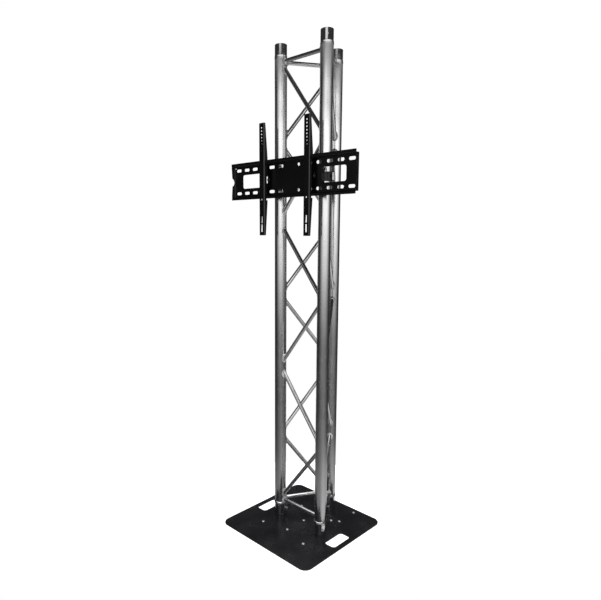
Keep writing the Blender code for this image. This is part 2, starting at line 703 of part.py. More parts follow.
def build_jaw(place, side, materials):
    """Back half of a clamp: hinged on the outer side, with a slotted ear on the inner side."""
    half = CLAMP_HEIGHT / 2.0
    ring = ring_sector("clamp_jaw", 6.0, 174.0)
    joined = knuckle(side, 1, -KNUCKLE_HALF + GAP, KNUCKLE_HALF - GAP)
    near = -side * EAR_INNER
    far = -side * EAR_OUTER
    joined.append(box("ear", (min(near, far), EAR_FRONT, -half + EAR_EDGE),
                      (max(near, far), EAR_BACK, half - EAR_EDGE)))
    jaw = combine(ring, joined, "UNION")
    hole = circle(RIVET_RADIUS + RIVET_PLAY, 10, (side * CLAMP_HINGE, 0.0))
    bore = prism("bore", hole, "z", -KNUCKLE_HALF - CUT_PAST, KNUCKLE_HALF + CUT_PAST)
    start = -side * NOTCH_START
    end = -side * (EAR_OUTER + CUT_PAST)
    notch = box("notch", (min(start, end), 0.0, -NOTCH_HALF),
                (max(start, end), EAR_BACK + CUT_PAST, NOTCH_HALF))
    jaw = combine(jaw, [bore, notch], "DIFFERENCE")
    add_object("clamp_jaw_" + place, jaw, materials["clamp"], clamp_centre(side))


def build_eye_bolt(place, side, materials):
    """Swing bolt: an eye on the inner rivet and a threaded shank through the jaw's ear."""
    eye = prism("eye_bolt", circle(EYE_RADIUS, 12), "z", -EYE_HALF, EYE_HALF)
    shank = rod("shank", (0.0, 0.0045, 0.0), (0.0, EYE_BOLT_LENGTH, 0.0),
                EYE_BOLT_RADIUS, EYE_BOLT_RADIUS, 16)
    bolt = combine(eye, [shank], "UNION")
    hole = circle(RIVET_RADIUS + RIVET_PLAY, 10)
    bore = prism("bore", hole, "z", -EYE_HALF - CUT_PAST, EYE_HALF + CUT_PAST)
    bolt = combine(bolt, [bore], "DIFFERENCE")
    x, y, z = clamp_centre(side)
    add_object("clamp_eye_bolt_" + place, bolt, materials["zinc"], (x - side * CLAMP_HINGE, y, z))


def build_wing_nut(place, side, materials):
    """Wing nut that turns on the eye bolt, its axis along Y."""
    seat = EAR_BACK + GAP
    profile = [(NUT_FOOT, seat), (NUT_FOOT, EAR_BACK + 0.004), (NUT_NECK, NUT_TOP),
               (NUT_BORE, NUT_TOP), (NUT_BORE, seat)]
    hub = turned("wing_nut", profile, 16, True)
    hub.transform(Matrix.Rotation(-math.pi / 2.0, 4, "X"))
    wings = []
    for reach in (-1, 1):
        outline = [(0.0062, 0.0185), (0.0165, 0.0305), (0.0185, 0.0350), (0.0160, 0.0370),
                   (0.0110, 0.0345), (0.0062, 0.0245)]
        outline = [(reach * u, v) for u, v in outline]
        wings.append(prism("wing", outline, "z", -WING_HALF_THICK, WING_HALF_THICK))
    nut = combine(hub, wings, "UNION")
    x, y, z = clamp_centre(side)
    add_object("clamp_wing_nut_" + place, nut, materials["zinc"], (x - side * CLAMP_HINGE, y, z))


def build_fixing_bolt(place, side, materials):
    """Button-headed bolt through the wall plate into the saddle's boss."""
    seat = SHEET_FRONT_Y - GAP - FRONT_CHORD_Y
    profile = [(0.0, -BUTTON_HEIGHT), (BUTTON_TOP, -BUTTON_HEIGHT), (BUTTON_RADIUS, -0.0018),
               (BUTTON_RADIUS, 0.0), (FIXING_RADIUS, 0.0), (FIXING_RADIUS, FIXING_LENGTH),
               (0.0, FIXING_LENGTH)]
    bolt = turned("fixing_bolt", profile, 12, False)
    radius, floor = BUTTON_SOCKET
    socket = prism("socket", circle(radius, 6), "z", -BUTTON_HEIGHT - CUT_PAST, -floor)
    bolt = combine(bolt, [socket], "DIFFERENCE")
    bolt.transform(Matrix.Rotation(-math.pi / 2.0, 4, "X"))
    x, y, z = clamp_centre(side)
    add_object("fixing_bolt_" + place, bolt, materials["bracket"], (x, y + seat, z))


# --------------------------------------------------------------------- main

def clear_scene():
    for item in list(bpy.data.objects):
        bpy.data.objects.remove(item, do_unlink=True)


def main():
    clear_scene()
    materials = make_materials()
    build_base_plate(materials)
    for place in CHORDS:
        build_base_coupler(place, materials)
        build_base_bolt(place, materials)
        build_coupler_pin(place, materials)
        build_clip(place, materials)
        build_chord(place, materials)
        build_receivers(place, materials)
    build_braces(materials)
    build_wall_plate(materials)
    build_arms(materials)
    for place, side in (("left", -1), ("right", 1)):
        build_saddle(place, side, materials)
        build_jaw(place, side, materials)
        build_eye_bolt(place, side, materials)
        build_wing_nut(place, side, materials)
        build_fixing_bolt(place, side, materials)


main()
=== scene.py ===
"""Looks of the display totem: a triangular aluminium truss on a black base plate, with a
black screen bracket clamped to its front chords.  Metres, +Z up, screen side -Y."""
import random
from math import atan2, copysign, cos, pi, radians, sin, sqrt, tan

import bmesh
import bpy
from mathutils import Matrix, Vector
from mathutils.geometry import tessellate_polygon


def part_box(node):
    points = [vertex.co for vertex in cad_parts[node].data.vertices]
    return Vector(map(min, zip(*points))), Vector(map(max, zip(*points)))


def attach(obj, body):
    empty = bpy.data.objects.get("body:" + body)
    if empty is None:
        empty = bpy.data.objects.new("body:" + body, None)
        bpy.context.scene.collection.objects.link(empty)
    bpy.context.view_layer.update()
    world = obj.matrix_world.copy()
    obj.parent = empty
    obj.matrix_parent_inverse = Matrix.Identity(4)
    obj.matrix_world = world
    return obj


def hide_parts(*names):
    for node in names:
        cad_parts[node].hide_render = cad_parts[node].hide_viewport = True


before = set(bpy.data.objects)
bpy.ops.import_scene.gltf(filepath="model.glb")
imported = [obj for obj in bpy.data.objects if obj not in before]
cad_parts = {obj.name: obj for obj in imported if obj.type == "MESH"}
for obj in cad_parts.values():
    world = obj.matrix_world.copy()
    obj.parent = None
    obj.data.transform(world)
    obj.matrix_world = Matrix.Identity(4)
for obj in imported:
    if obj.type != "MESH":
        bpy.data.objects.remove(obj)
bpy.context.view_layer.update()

PLACES = ("left", "right", "rear")
FACES = {"front": ("left", "right"), "right": ("right", "rear"), "left": ("rear", "left")}
SIDES = {"left": -1, "right": 1}

# Truss
TUBE_WALL = 0.002
BRACE_RADIUS = 0.008
BRACE_DIP = 0.0004  # how far the end of a brace dips into its chord
BAYS = 6
# Diagonals whose ends stand off the even spacing, at the upper and the lower end
BRACE_SHIFTS = {"diagonal_front_2": (0.0, 0.007), "diagonal_front_3": (-0.011, -0.011)}
RECEIVER_RADIUS = 0.0244
RECEIVER_BARREL = 0.041
RECEIVER_COLLAR = 0.055
RECEIVER_BORE = 0.017
SPIGOT_END = 0.08
COLLAR_TAPER = 0.0005  # an upper receiver's collar faces a little down
PIN_DEPTH = 0.021
PIN_BORE = 0.0056
CLIP_WIRE = 0.001
SEAM_RADIUS = 0.0247
SEAM_HEIGHT = 0.0085
SEAM_RISE = (0.0012, 0.0024)  # how far the beads stand out, above and below
SEAM_RIPPLES = 44
WELD_LEG = 0.005
WELD_RIPPLE = 0.001
DULL_FROM_TO = (1.83, 1.96)  # heights over which a chord loses its shine
DULL_ROUGHNESS = 0.45

# Base plate
PLATE_CORNER = 0.035
HANDLE = (0.203, 0.052, 0.11, 0.014)  # offset, width, length, corner radius
LINER = 0.0002  # half the wall of the finish inside a bore
FIXING_HOLE = 0.006
SMALL_HOLE = 0.0035
COUNTERSINK = 0.0126
SPARE_HOLES = [(-0.1195, -0.1195), (0.1195, -0.1195), (0.1195, 0.1195), (0.0, -0.09),
               (0.0025, 0.014), (-0.089, 0.1), (0.089, 0.1), (0.12, 0.2235)]
SMALL_HOLES = [(0.0745, -0.104), (-0.107, -0.168), (-0.204, 0.1875)]

# Bracket
SHEET = 0.002
BEND = 0.0028  # bend radius of the sheet's middle
SLOT_PITCH = 0.05
SLOT_SIZE = (0.03, 0.012)
SLOT_COLUMNS = (-6, -5, -4, -3, -2, -1, 2, 3, 4, 5, 6)
ROUND_HOLE = (0.0455, 0.0062)  # in place of the first slot on the right: x, radius
ROW_OFFSET = 0.0475
WINDOW = (0.162, 0.275, 0.056, 0.009)  # inner x, outer x, height, corner radius
UPRIGHT_SLOT = (0.1287, 0.007, 0.028)  # x, width, height
CORNER_HOLE = (0.3215, 0.057, 0.0028)  # x, z, radius
BOLT_HOLE = 0.0043
ARM_TOP_DEPTH = 0.008
ARM_RAIL_DEPTH = 0.0195
ARM_BOTTOM_DEPTH = 0.009
ARM_FIRST_HOLE = 0.0185
ARM_HOLE_PITCH = 0.0125
ARM_HOLES = 8
ARM_HOLE = 0.0031
ARM_SLOTS = ((-0.159, 0.0285), (-0.1937, 0.0315))  # z, height
ARM_SLOT_WIDTH = 0.0075

# Clamps
CLAMP_HINGE = 0.0385
CLAMP_INNER = 0.0252
CLAMP_OUTER = 0.032
CLAMP_HALF = 0.0175  # half the height of a saddle or jaw
KNUCKLE_RADIUS = 0.0062
KNUCKLE_HALF = 0.006
EAR_BACK = 0.013
RIVET_RADIUS = 0.0034
SLEEVE_RADIUS = 0.0066


# -- places, from the frame

def centre_of(node):
    low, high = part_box(node)
    return (low + high) / 2.0


CHORDS = {place: centre_of("chord_" + place) for place in PLACES}
CHORD_RADIUS = (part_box("chord_left")[1].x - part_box("chord_left")[0].x) / 2.0
TRUSS_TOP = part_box("upper_receiver_left")[1].z
TRUSS_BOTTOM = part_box("lower_receiver_left")[0].z
NODE_HIGH = centre_of("upper_strut_front").z
NODE_LOW = centre_of("lower_strut_front").z
CENTRE = sum(CHORDS.values(), Vector()) / 3.0
PLATE_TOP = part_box("base_plate")[1].z
PLATE_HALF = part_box("base_plate")[1].x
BRACKET_Z = centre_of("wall_plate").z
BRACKET_LOW, BRACKET_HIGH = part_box("wall_plate")
BRACKET_HALF = BRACKET_HIGH.x
LIP_END = BRACKET_HIGH.z - BRACKET_Z
LIP_FRONT = BRACKET_LOW.y
SHEET_BACK = BRACKET_HIGH.y
ARM_LOW, ARM_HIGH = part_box("tv_arm_left")
ARM_FRONT = ARM_LOW.y
ARM_HALF_WIDTH = (ARM_HIGH.x - ARM_LOW.x) / 2.0
ARM_TOP = ARM_HIGH.z - BRACKET_Z
ARM_BOTTOM = ARM_LOW.z - BRACKET_Z
SHELF = LIP_END - 0.01


def outward(place):
    """Turn about Z that points +X from the truss's middle out through a chord."""
    way = CHORDS[place] - CENTRE
    return Matrix.Rotation(atan2(way.y, way.x), 4, "Z")


BACKWARDS = Matrix.Rotation(-pi / 2.0, 4, "X")  # turns +Z to +Y


def at(x, y, z):
    return Matrix.Translation((x, y, z))


def on_axis(place):
    """Place at floor height on the axis of a chord."""
    return at(*CHORDS[place].xy, 0.0)


def at_chord(place, height):
    """Place at a height on the axis of a chord, with +X outward."""
    return at(*CHORDS[place].xy, height) @ outward(place)


# -- node materials

def fill(node, values):
    """Set a node's inputs by name."""
    for name, value in values.items():
        node.inputs[name].default_value = value


def map_range(tree, value, low, high, first, last):
    """Node that takes a value from low..high to first..last and holds it at the ends."""
    node = tree.nodes.new("ShaderNodeMapRange")
    fill(node, {"From Min": low, "From Max": high, "To Min": first, "To Max": last})
    tree.links.new(value, node.inputs["Value"])
    return node


def maths(tree, operation, first, second=0.0):
    """Result of a maths node whose inputs are sockets or plain numbers."""
    node = tree.nodes.new("ShaderNodeMath")
    node.operation = operation
    for index, value in enumerate((first, second)):
        if isinstance(value, float):
            node.inputs[index].default_value = value
        else:
            tree.links.new(value, node.inputs[index])
    return node.outputs["Value"]


class Surface:
    """A Principled material under construction."""

    def __init__(self, name, metallic, roughness, colour, specular=0.5):
        self.material = bpy.data.materials.new(name)
        self.material.use_nodes = True
        self.tree = self.material.node_tree
        self.shader = self.tree.nodes["Principled BSDF"]
        fill(self.shader, {"Metallic": metallic, "Roughness": roughness, "Base Color": (*colour, 1.0),
                           "Specular IOR Level": specular})
        self.coords = self.node("TexCoord").outputs["Object"]

    def node(self, kind):
        return self.tree.nodes.new("ShaderNode" + kind)

    def link(self, source, target):
        self.tree.links.new(source, target)

    def texture(self, kind, scale, stretch=(1.0, 1.0, 1.0)):
        """A texture node over the object, stretched by scaling its coordinates."""
        mapping = self.node("Mapping")
        fill(mapping, {"Scale": stretch})
        self.link(self.coords, mapping.inputs["Vector"])
        texture = self.node(kind)
        fill(texture, {"Scale": scale})
        self.link(mapping.outputs["Vector"], texture.inputs["Vector"])
        return texture

    def noise(self, scale, detail=3.0, stretch=(1.0, 1.0, 1.0), roughness=0.5):
        texture = self.texture("TexNoise", scale, stretch)
        fill(texture, {"Detail": detail, "Roughness": roughness})
        return texture.outputs["Fac"]

    def spots(self, scale):
        """Distance to the middle of the nearest of many scattered cells."""
        return self.texture("TexVoronoi", scale).outputs["Distance"]

    def ramp(self, factor, low, high, first=0.0, last=1.0):
        return map_range(self.tree, factor, low, high, first, last).outputs["Result"]

    def sum(self, first, second):
        return maths(self.tree, "ADD", first, second)

    def colours(self, factor, first, second):
        """Base colour that goes from first to second with the factor."""
        mix = self.node("Mix")
        mix.data_type = "RGBA"
        fill(mix, {"A": (*first, 1.0), "B": (*second, 1.0)})
        self.link(factor, mix.inputs["Factor"])
        self.link(mix.outputs["Result"], self.shader.inputs["Base Color"])

    def roughen(self, factor):
        self.link(factor, self.shader.inputs["Roughness"])

    def bump(self, height, distance):
        bump = self.node("Bump")
        fill(bump, {"Distance": distance})
        self.link(height, bump.inputs["Height"])
        self.link(bump.outputs["Normal"], self.shader.inputs["Normal"])


def tube_aluminium():
    """Bright drawn tube: fine lines, faint smears and small scuffs, duller at a chord's top."""
    surface = Surface("tube_aluminium", 1.0, 0.22, (0.83, 0.83, 0.84))
    lines = surface.noise(900.0, 2.0, (1.0, 1.0, 0.012))
    smears = surface.noise(14.0, 5.0, (1.0, 1.0, 0.35), 0.6)
    scuffs = surface.noise(160.0, 4.0, (1.0, 1.0, 0.5), 0.7)
    surface.colours(surface.ramp(smears, 0.3, 0.7), (0.86, 0.86, 0.87), (0.72, 0.72, 0.73))
    rough = surface.sum(surface.ramp(smears, 0.35, 0.75, 0.15, 0.3),
                        surface.ramp(scuffs, 0.62, 0.75, 0.0, 0.16))
    split = surface.node("SeparateXYZ")
    surface.link(surface.coords, split.inputs["Vector"])
    rough = surface.sum(rough, surface.ramp(split.outputs["Z"], *DULL_FROM_TO, 0.0, DULL_ROUGHNESS))
    surface.roughen(rough)
    height = surface.sum(surface.ramp(lines, 0.3, 0.7, 0.0, 0.2),
                         surface.ramp(scuffs, 0.6, 0.8, 0.0, -0.5))
    surface.bump(height, 0.000025)
    return surface.material


def machined_aluminium():
    """Turned aluminium: near mirror, with fine rings round the axis."""
    surface = Surface("machined_aluminium", 1.0, 0.14, (0.88, 0.88, 0.89))
    rings = surface.noise(30.0, 2.0, (0.15, 0.15, 90.0))
    smears = surface.noise(40.0, 4.0)
    surface.colours(surface.ramp(smears, 0.3, 0.7), (0.9, 0.9, 0.91), (0.78, 0.78, 0.79))
    surface.roughen(surface.ramp(smears, 0.35, 0.75, 0.05, 0.12))
    surface.bump(rings, 0.00002)
    return surface.material


def weld_aluminium():
    """Weld metal: duller and a little sooty beside the bead."""
    surface = Surface("weld_aluminium", 1.0, 0.38, (0.85, 0.85, 0.86))
    soot = surface.noise(220.0, 4.0, roughness=0.65)
    grain = surface.noise(1500.0, 2.0)
    surface.colours(surface.ramp(soot, 0.35, 0.7), (0.88, 0.88, 0.89), (0.55, 0.55, 0.56))
    surface.roughen(surface.ramp(soot, 0.3, 0.7, 0.18, 0.42))
    surface.bump(surface.sum(grain, soot), 0.00022)
    return surface.material


def zinc_steel():
    """Zinc-plated steel with its cloudy grain."""
    surface = Surface("zinc_steel", 1.0, 0.3, (0.68, 0.69, 0.71))
    grain = surface.noise(350.0, 4.0)
    cloud = surface.spots(260.0)
    surface.colours(surface.ramp(cloud, 0.0, 0.6), (0.74, 0.75, 0.77), (0.56, 0.57, 0.58))
    surface.roughen(surface.ramp(grain, 0.3, 0.7, 0.2, 0.38))
    surface.bump(grain, 0.00003)
    return surface.material


def powder_coat(name, dark, light, roughness, grain_scale, specular):
    """Powder coating: fine orange peel, slightly uneven gloss and a little dust."""
    surface = Surface(name, 0.0, roughness, dark, specular)
    peel = surface.noise(grain_scale)
    wide = surface.noise(9.0, 4.0)
    dust = surface.noise(240.0, 6.0, roughness=0.75)
    tone = surface.sum(surface.ramp(wide, 0.35, 0.7, 0.0, 0.5), surface.ramp(dust, 0.58, 0.75, 0.0, 0.5))
    surface.colours(tone, dark, light)
    surface.roughen(surface.ramp(wide, 0.3, 0.7, roughness - 0.05, roughness + 0.07))
    surface.bump(peel, 0.00006)
    return surface.material


def enamel_black():
    """Glossy black enamel over a casting, with the casting's soft unevenness."""
    surface = Surface("clamp_enamel", 0.0, 0.14, (0.005, 0.005, 0.006), 0.3)
    cast = surface.noise(130.0)
    fine = surface.noise(1200.0, 2.0)
    surface.colours(surface.ramp(cast, 0.35, 0.7), (0.004, 0.004, 0.005), (0.009, 0.009, 0.01))
    surface.roughen(surface.ramp(cast, 0.3, 0.7, 0.1, 0.2))
    surface.bump(surface.sum(cast, surface.ramp(fine, 0.0, 1.0, 0.0, 0.2)), 0.00012)
    return surface.material


MATERIALS = {"tube": tube_aluminium(), "machined": machined_aluminium(), "weld": weld_aluminium(),
             "zinc": zinc_steel(), "clamp": enamel_black(),
             "base": powder_coat("base_coat", (0.009, 0.009, 0.011), (0.016, 0.016, 0.0185),
                                 0.24, 1100.0, 0.5),
             "bracket": powder_coat("bracket_coat", (0.0006, 0.0006, 0.0007), (0.0016, 0.0016, 0.0018),
                                    0.28, 1600.0, 0.85)}


# -- shape helpers

def new_object(name, data):
    item = bpy.data.objects.new(name, data)
    bpy.context.scene.collection.objects.link(item)
    return item


def add_piece(name, data, finish, body="root", place=None, replaces=()):
    """A piece of the object: it has a material, rides on a body and may stand for CAD nodes."""
    piece = new_object(name, data)
    if place is not None:
        piece.matrix_world = place
    data.materials.clear()
    data.materials.append(MATERIALS[finish])
    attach(piece, body)
    if replaces:
        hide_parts(*replaces)
    return piece


def shade(mesh, degrees=30.0):
    mesh.shade_smooth()
    mesh.set_sharp_from_angle(angle=radians(degrees))
    return mesh


def to_mesh(name, shape, degrees=30.0):
    bmesh.ops.recalc_face_normals(shape, faces=shape.faces)
    mesh = bpy.data.meshes.new(name)
    shape.to_mesh(mesh)
    shape.free()
    return shade(mesh, degrees)


def polar(radius, angle, height):
    return radius * cos(angle), radius * sin(angle), height


def ring_of(shape, sides, point):
    """New corners at equal angles round Z, each where point(angle) puts it."""
    return [shape.verts.new(point(2.0 * pi * index / sides)) for index in range(sides)]


def skin(shape, lower, upper):
    """Faces between two closed rings of as many points."""
    for index in range(len(lower)):
        after = (index + 1) % len(lower)
        shape.faces.new((lower[index], lower[after], upper[after], upper[index]))


def arc(centre, radius, start, end, steps):
    points = []
    for step in range(steps + 1):
        angle = radians(start + (end - start) * step / steps)
        points.append((centre[0] + radius * cos(angle), centre[1] + radius * sin(angle)))
    return points


def mirrored(points):
    """Points and then their mirror images, in reverse."""
    return points + [(x, -y) for x, y in reversed(points)]


def circle(radius, sides, centre=(0.0, 0.0)):
    return arc(centre, radius, 0.0, 360.0 - 360.0 / sides, sides - 1)


def rounded_rectangle(width, height, radius, steps, centre=(0.0, 0.0)):
    points = []
    for index, (sx, sy) in enumerate(((1, 1), (-1, 1), (-1, -1), (1, -1))):
        corner = (centre[0] + sx * (width / 2.0 - radius), centre[1] + sy * (height / 2.0 - radius))
        points += arc(corner, radius, 90.0 * index, 90.0 * index + 90.0, steps)
    return points


def slot_outline(width, height, steps, centre=(0.0, 0.0)):
    """A slot with round ends along its longer way."""
    return rounded_rectangle(width, height, min(width, height) / 2.0 - 1e-6, steps, centre)


def rounded(points, radius, steps=5):
    """A polygon with every corner rounded, by less where its sides are short."""
    result = []
    count = len(points)
    for index, point in enumerate(points):
        here = Vector(point)
        before = Vector(points[index - 1]) - here
        after = Vector(points[(index + 1) % count]) - here
        angle = before.angle(after)
        if angle > radians(175.0):
            result.append(tuple(here))
            continue
        reach = min(radius / tan(angle / 2.0), before.length * 0.45, after.length * 0.45)
        start = here + before.normalized() * reach
        end = here + after.normalized() * reach
        for step in range(steps + 1):
            t = step / steps
            result.append(tuple(start * (1 - t) ** 2 + here * 2 * t * (1 - t) + end * t ** 2))
    return result


def lathe(name, profile, sides=96, closed=False):
    """A (radius, height) profile turned about Z; a closed one joins its end to its start."""
    shape = bmesh.new()
    rings = []
    for radius, height in profile:
        if radius == 0.0:
            rings.append([shape.verts.new((0.0, 0.0, height))])
            continue
        rings.append(ring_of(shape, sides, lambda angle: polar(radius, angle, height)))
    pairs = list(zip(rings, rings[1:]))
    if closed:
        pairs.append((rings[-1], rings[0]))
    for lower, upper in pairs:
        if len(lower) == len(upper):
            skin(shape, lower, upper)
            continue
        for index in range(sides):
            after = (index + 1) % sides
            if len(lower) == 1:
                shape.faces.new((lower[0], upper[index], upper[after]))
            else:
                shape.faces.new((lower[index], upper[0], lower[after]))
    return to_mesh(name, shape)


def prism(name, outline, low, high):
    """An outline in X and Y pushed along Z."""
    shape = bmesh.new()
    rings = [[shape.verts.new((x, y, z)) for x, y in outline] for z in (low, high)]
    shape.faces.new(rings[0])
    shape.faces.new(rings[1])
    skin(shape, *rings)
    return to_mesh(name, shape)


def facing(way):
    """Turn that points Z along way."""
    return way.to_track_quat("Z", "Y").to_matrix().to_4x4()


def bar(name, start, end, radius, sides=32):
    """A plain round bar between two points."""
    start = Vector(start)
    way = Vector(end) - start
    mesh = lathe(name, [(0.0, 0.0), (radius, 0.0), (radius, way.length), (0.0, way.length)], sides)
    mesh.transform(Matrix.Translation(start) @ facing(way))
    return mesh


def block(name, low, high):
    """A box from corner to corner, in any order of each coordinate."""
    low, high = [min(a, b) for a, b in zip(low, high)], [max(a, b) for a, b in zip(low, high)]
    outline = [(low[0], low[1]), (high[0], low[1]), (high[0], high[1]), (low[0], high[1])]
    return prism(name, outline, low[2], high[2])


def joined(name, meshes):
    shape = bmesh.new()
    for mesh in meshes:
        shape.from_mesh(mesh)
    return to_mesh(name, shape)


def evaluated(name, mesh, modifiers):
    """Mesh after a list of (type, settings) modifiers."""
    work = new_object("work", mesh)
    for kind, settings in modifiers:
        modifier = work.modifiers.new(kind.lower(), kind)
        for key, value in settings.items():
            setattr(modifier, key, value)
    graph = bpy.context.evaluated_depsgraph_get()
    result = bpy.data.meshes.new_from_object(work.evaluated_get(graph))
    result.name = name
    bpy.data.objects.remove(work, do_unlink=True)
    return result


def cut(mesh, cutters):
    """Mesh with each cutter taken out of it."""
    helpers = []
    modifiers = []
    for cutter in cutters:
        helper = new_object("cutter", cutter)
        helpers.append(helper)
        modifiers.append(("BOOLEAN", {"operation": "DIFFERENCE", "solver": "EXACT", "object": helper}))
    result = evaluated(mesh.name, mesh, modifiers)
    for helper in helpers:
        bpy.data.objects.remove(helper, do_unlink=True)
    return result


def faired(mesh):
    """Mesh shaded by its broad faces, so that narrow rounded edges blend into them."""
    return evaluated(mesh.name, mesh, [("WEIGHTED_NORMAL", {"weight": 100})])


def softened(name, meshes, voxel, passes=3, keep=0.4):
    """Closed shapes melted into one, its edges rounded as on a casting."""
    steps = [("REMESH", {"mode": "VOXEL", "voxel_size": voxel, "use_smooth_shade": True}),
             ("SMOOTH", {"factor": 0.5, "iterations": passes}),
             ("DECIMATE", {"ratio": keep})]
    return shade(evaluated(name, joined(name, meshes), steps), 60.0)


def bevelled(mesh, width):
    """Mesh with a narrow chamfer on its sharp edges."""
    settings = {"width": width, "segments": 1, "limit_method": "ANGLE", "harden_normals": True,
                "angle_limit": radians(35.0), "use_clamp_overlap": True}
    return evaluated(mesh.name, mesh, [("BEVEL", settings)])


# -- folded sheets

def shifted(loop, distance):
    """A closed outline moved inwards by a distance, or outwards by a negative one."""
    area = sum(a[0] * b[1] - b[0] * a[1] for a, b in zip(loop, loop[1:] + loop[:1]))
    turn = copysign(1.0, area)
    moved = []
    count = len(loop)
    for index in range(count):
        here = Vector(loop[index])
        before = (here - Vector(loop[index - 1])).normalized()
        after = (Vector(loop[(index + 1) % count]) - here).normalized()
        first = Vector((-before.y, before.x)) * turn
        second = Vector((-after.y, after.x)) * turn
        middle = (first + second).normalized()
        moved.append(tuple(here + middle * distance / max(middle.dot(first), 0.4)))
    return moved


def sheet_solid(outline, holes, thickness, edge, rounds=2):
    """A flat sheet in X and Y with holes, every edge rounded; its middle is at height 0."""
    loops = []
    for loop in [outline] + holes:
        loops.append([point for index, point in enumerate(loop)
                      if (Vector(point) - Vector(loop[index - 1])).length > 1e-5])
    section = []
    for step in range(rounds + 1):
        angle = radians(90.0) * step / rounds
        section.append((edge * (1.0 - sin(angle)), thickness / 2.0 - edge * (1.0 - cos(angle))))
    shape = bmesh.new()
    rows = []
    for inset, height in mirrored(section):
        row = []
        for index, loop in enumerate(loops):
            moved = shifted(loop, inset if index == 0 else -inset)
            row.append([shape.verts.new((x, y, height)) for x, y in moved])
        rows.append(row)
    for upper, lower in zip(rows, rows[1:]):
        for above, below in zip(upper, lower):
            skin(shape, above, below)
    for row in (rows[0], rows[-1]):
        verts = [vert for ring in row for vert in ring]
        for triangle in tessellate_polygon([[vert.co for vert in ring] for ring in row]):
            shape.faces.new([verts[index] for index in triangle])
    return shape


def along(distance, steps):
    """Place and heading at a distance along a section of ("run", length) and ("bend", degrees)."""
    u = v = heading = 0.0
    for kind, amount in steps:
        if kind == "run":
            used = min(distance, amount)
            u += used * cos(heading)
            v += used * sin(heading)
        else:
            sign = copysign(1.0, amount)
            used = min(distance, BEND * radians(abs(amount)))
            turned = heading + sign * used / BEND
            u += sign * BEND * (sin(turned) - sin(heading))
            v -= sign * BEND * (cos(turned) - cos(heading))
            heading = turned
        distance -= used
        if distance <= 0.0:
            break
    return u, v, heading


def bend_lines(steps, cuts=6):
    """Distances along a section where its flat sheet is cut so that it can bend."""
    lines = []
    reached = 0.0
    for kind, amount in steps:
        length = amount if kind == "run" else BEND * radians(abs(amount))
        if kind == "bend":
            lines += [reached + length * index / cuts for index in range(cuts + 1)]
        reached += length
    return lines


def flat_length(steps):
    return sum(amount if kind == "run" else BEND * radians(abs(amount)) for kind, amount in steps)


def folded_sheet(name, outline, holes, across, upward, tall=1.0):
    """A sheet with holes, folded by the section across (in x) and by upward (in z).

    Its middle stands in X and Z and a positive bend folds it towards -Y.  The section
    across only folds what lies within tall of the middle."""
    shape = sheet_solid(outline, holes, SHEET, 0.0003)
    for steps, normal in ((across, Vector((1.0, 0.0, 0.0))), (upward, Vector((0.0, 1.0, 0.0)))):
        for line in bend_lines(steps):
            for side in (-1.0, 1.0):
                geometry = shape.verts[:] + shape.edges[:] + shape.faces[:]
                bmesh.ops.bisect_plane(shape, geom=geometry, dist=1e-6,
                                       plane_co=normal * line * side, plane_no=normal)
    for vert in shape.verts:
        x, depth_x, turn_x = abs(vert.co.x), 0.0, 0.0
        if abs(vert.co.y) < tall:
            x, depth_x, turn_x = along(x, across)
        z, depth_z, turn_z = along(abs(vert.co.y), upward)
        side_x = copysign(1.0, vert.co.x)
        side_z = copysign(1.0, vert.co.y)
        front = Vector((-side_x * sin(turn_x), -cos(turn_x) * cos(turn_z), -side_z * sin(turn_z)))
        vert.co = Vector((side_x * x, -depth_x - depth_z, side_z * z)) + front * vert.co.z
    return faired(to_mesh(name, shape, 180.0))


# -- truss

def make_chord(place):
    low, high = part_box("chord_" + place)
    inner = CHORD_RADIUS - TUBE_WALL
    profile = [(inner, low.z), (CHORD_RADIUS, low.z), (CHORD_RADIUS, high.z), (inner, high.z)]
    mesh = lathe("chord_tube", profile, 128, True)
    add_piece("chord_tube_" + place, mesh, "tube", place=on_axis(place), replaces=["chord_" + place])


def receiver_mesh(taper):
    """A receiver with its mouth at height 0 and its spigot below; its collar may taper."""
    radius = RECEIVER_RADIUS
    barrel = -RECEIVER_BARREL
    end = -RECEIVER_COLLAR
    edge = 0.0008
    collar = 0.0256
    spigot = 0.0223
    profile = [(0.0205, -0.0012), (0.0217, 0.0), (radius - edge, 0.0), (radius, -edge),
               (radius, barrel + 0.0006), (radius - edge, barrel), (radius - edge, barrel - 0.001),
               (collar - 0.0003, barrel - 0.0016), (collar, barrel - 0.0022),
               (collar - taper, end + 0.0085), (0.025, end + 0.008), (0.025, end - 0.001),
               (spigot, end - 0.001), (spigot, -SPIGOT_END), (RECEIVER_BORE, -SPIGOT_END),
               (RECEIVER_BORE, -0.06)]
    body = lathe("receiver", profile, 96, True)
    bore = bar("bore", (-0.04, 0.0, -PIN_DEPTH), (0.04, 0.0, -PIN_DEPTH), PIN_BORE, 40)
    return shade(cut(body, [bore]))


def seam_mesh(rise):
    """The weld between a receiver and its chord: two beads side by side around the tube."""
    shape = bmesh.new()
    rows = 12

    def surface(t, angle):
        crown = abs(sin(2.0 * pi * t))
        wave = abs(sin(angle * SEAM_RIPPLES / 2.0 + 2.2 * t))
        radius = SEAM_RADIUS + crown * (rise + 0.0001 * wave)
        return polar(radius, angle, SEAM_HEIGHT * t + 0.0004 * sin(angle * 3.0))

    rings = [ring_of(shape, 240, lambda angle: surface(row / rows, angle)) for row in range(rows + 1)]
    inner = []
    for ring, height in ((rings[-1], SEAM_HEIGHT - 0.001), (rings[0], 0.001)):
        inner.append([shape.verts.new((vert.co.x * 0.97, vert.co.y * 0.97, height)) for vert in ring])
    rings = rings + inner
    for lower, upper in zip(rings, rings[1:] + rings[:1]):
        skin(shape, lower, upper)
    return to_mesh("seam", shape, 45.0)


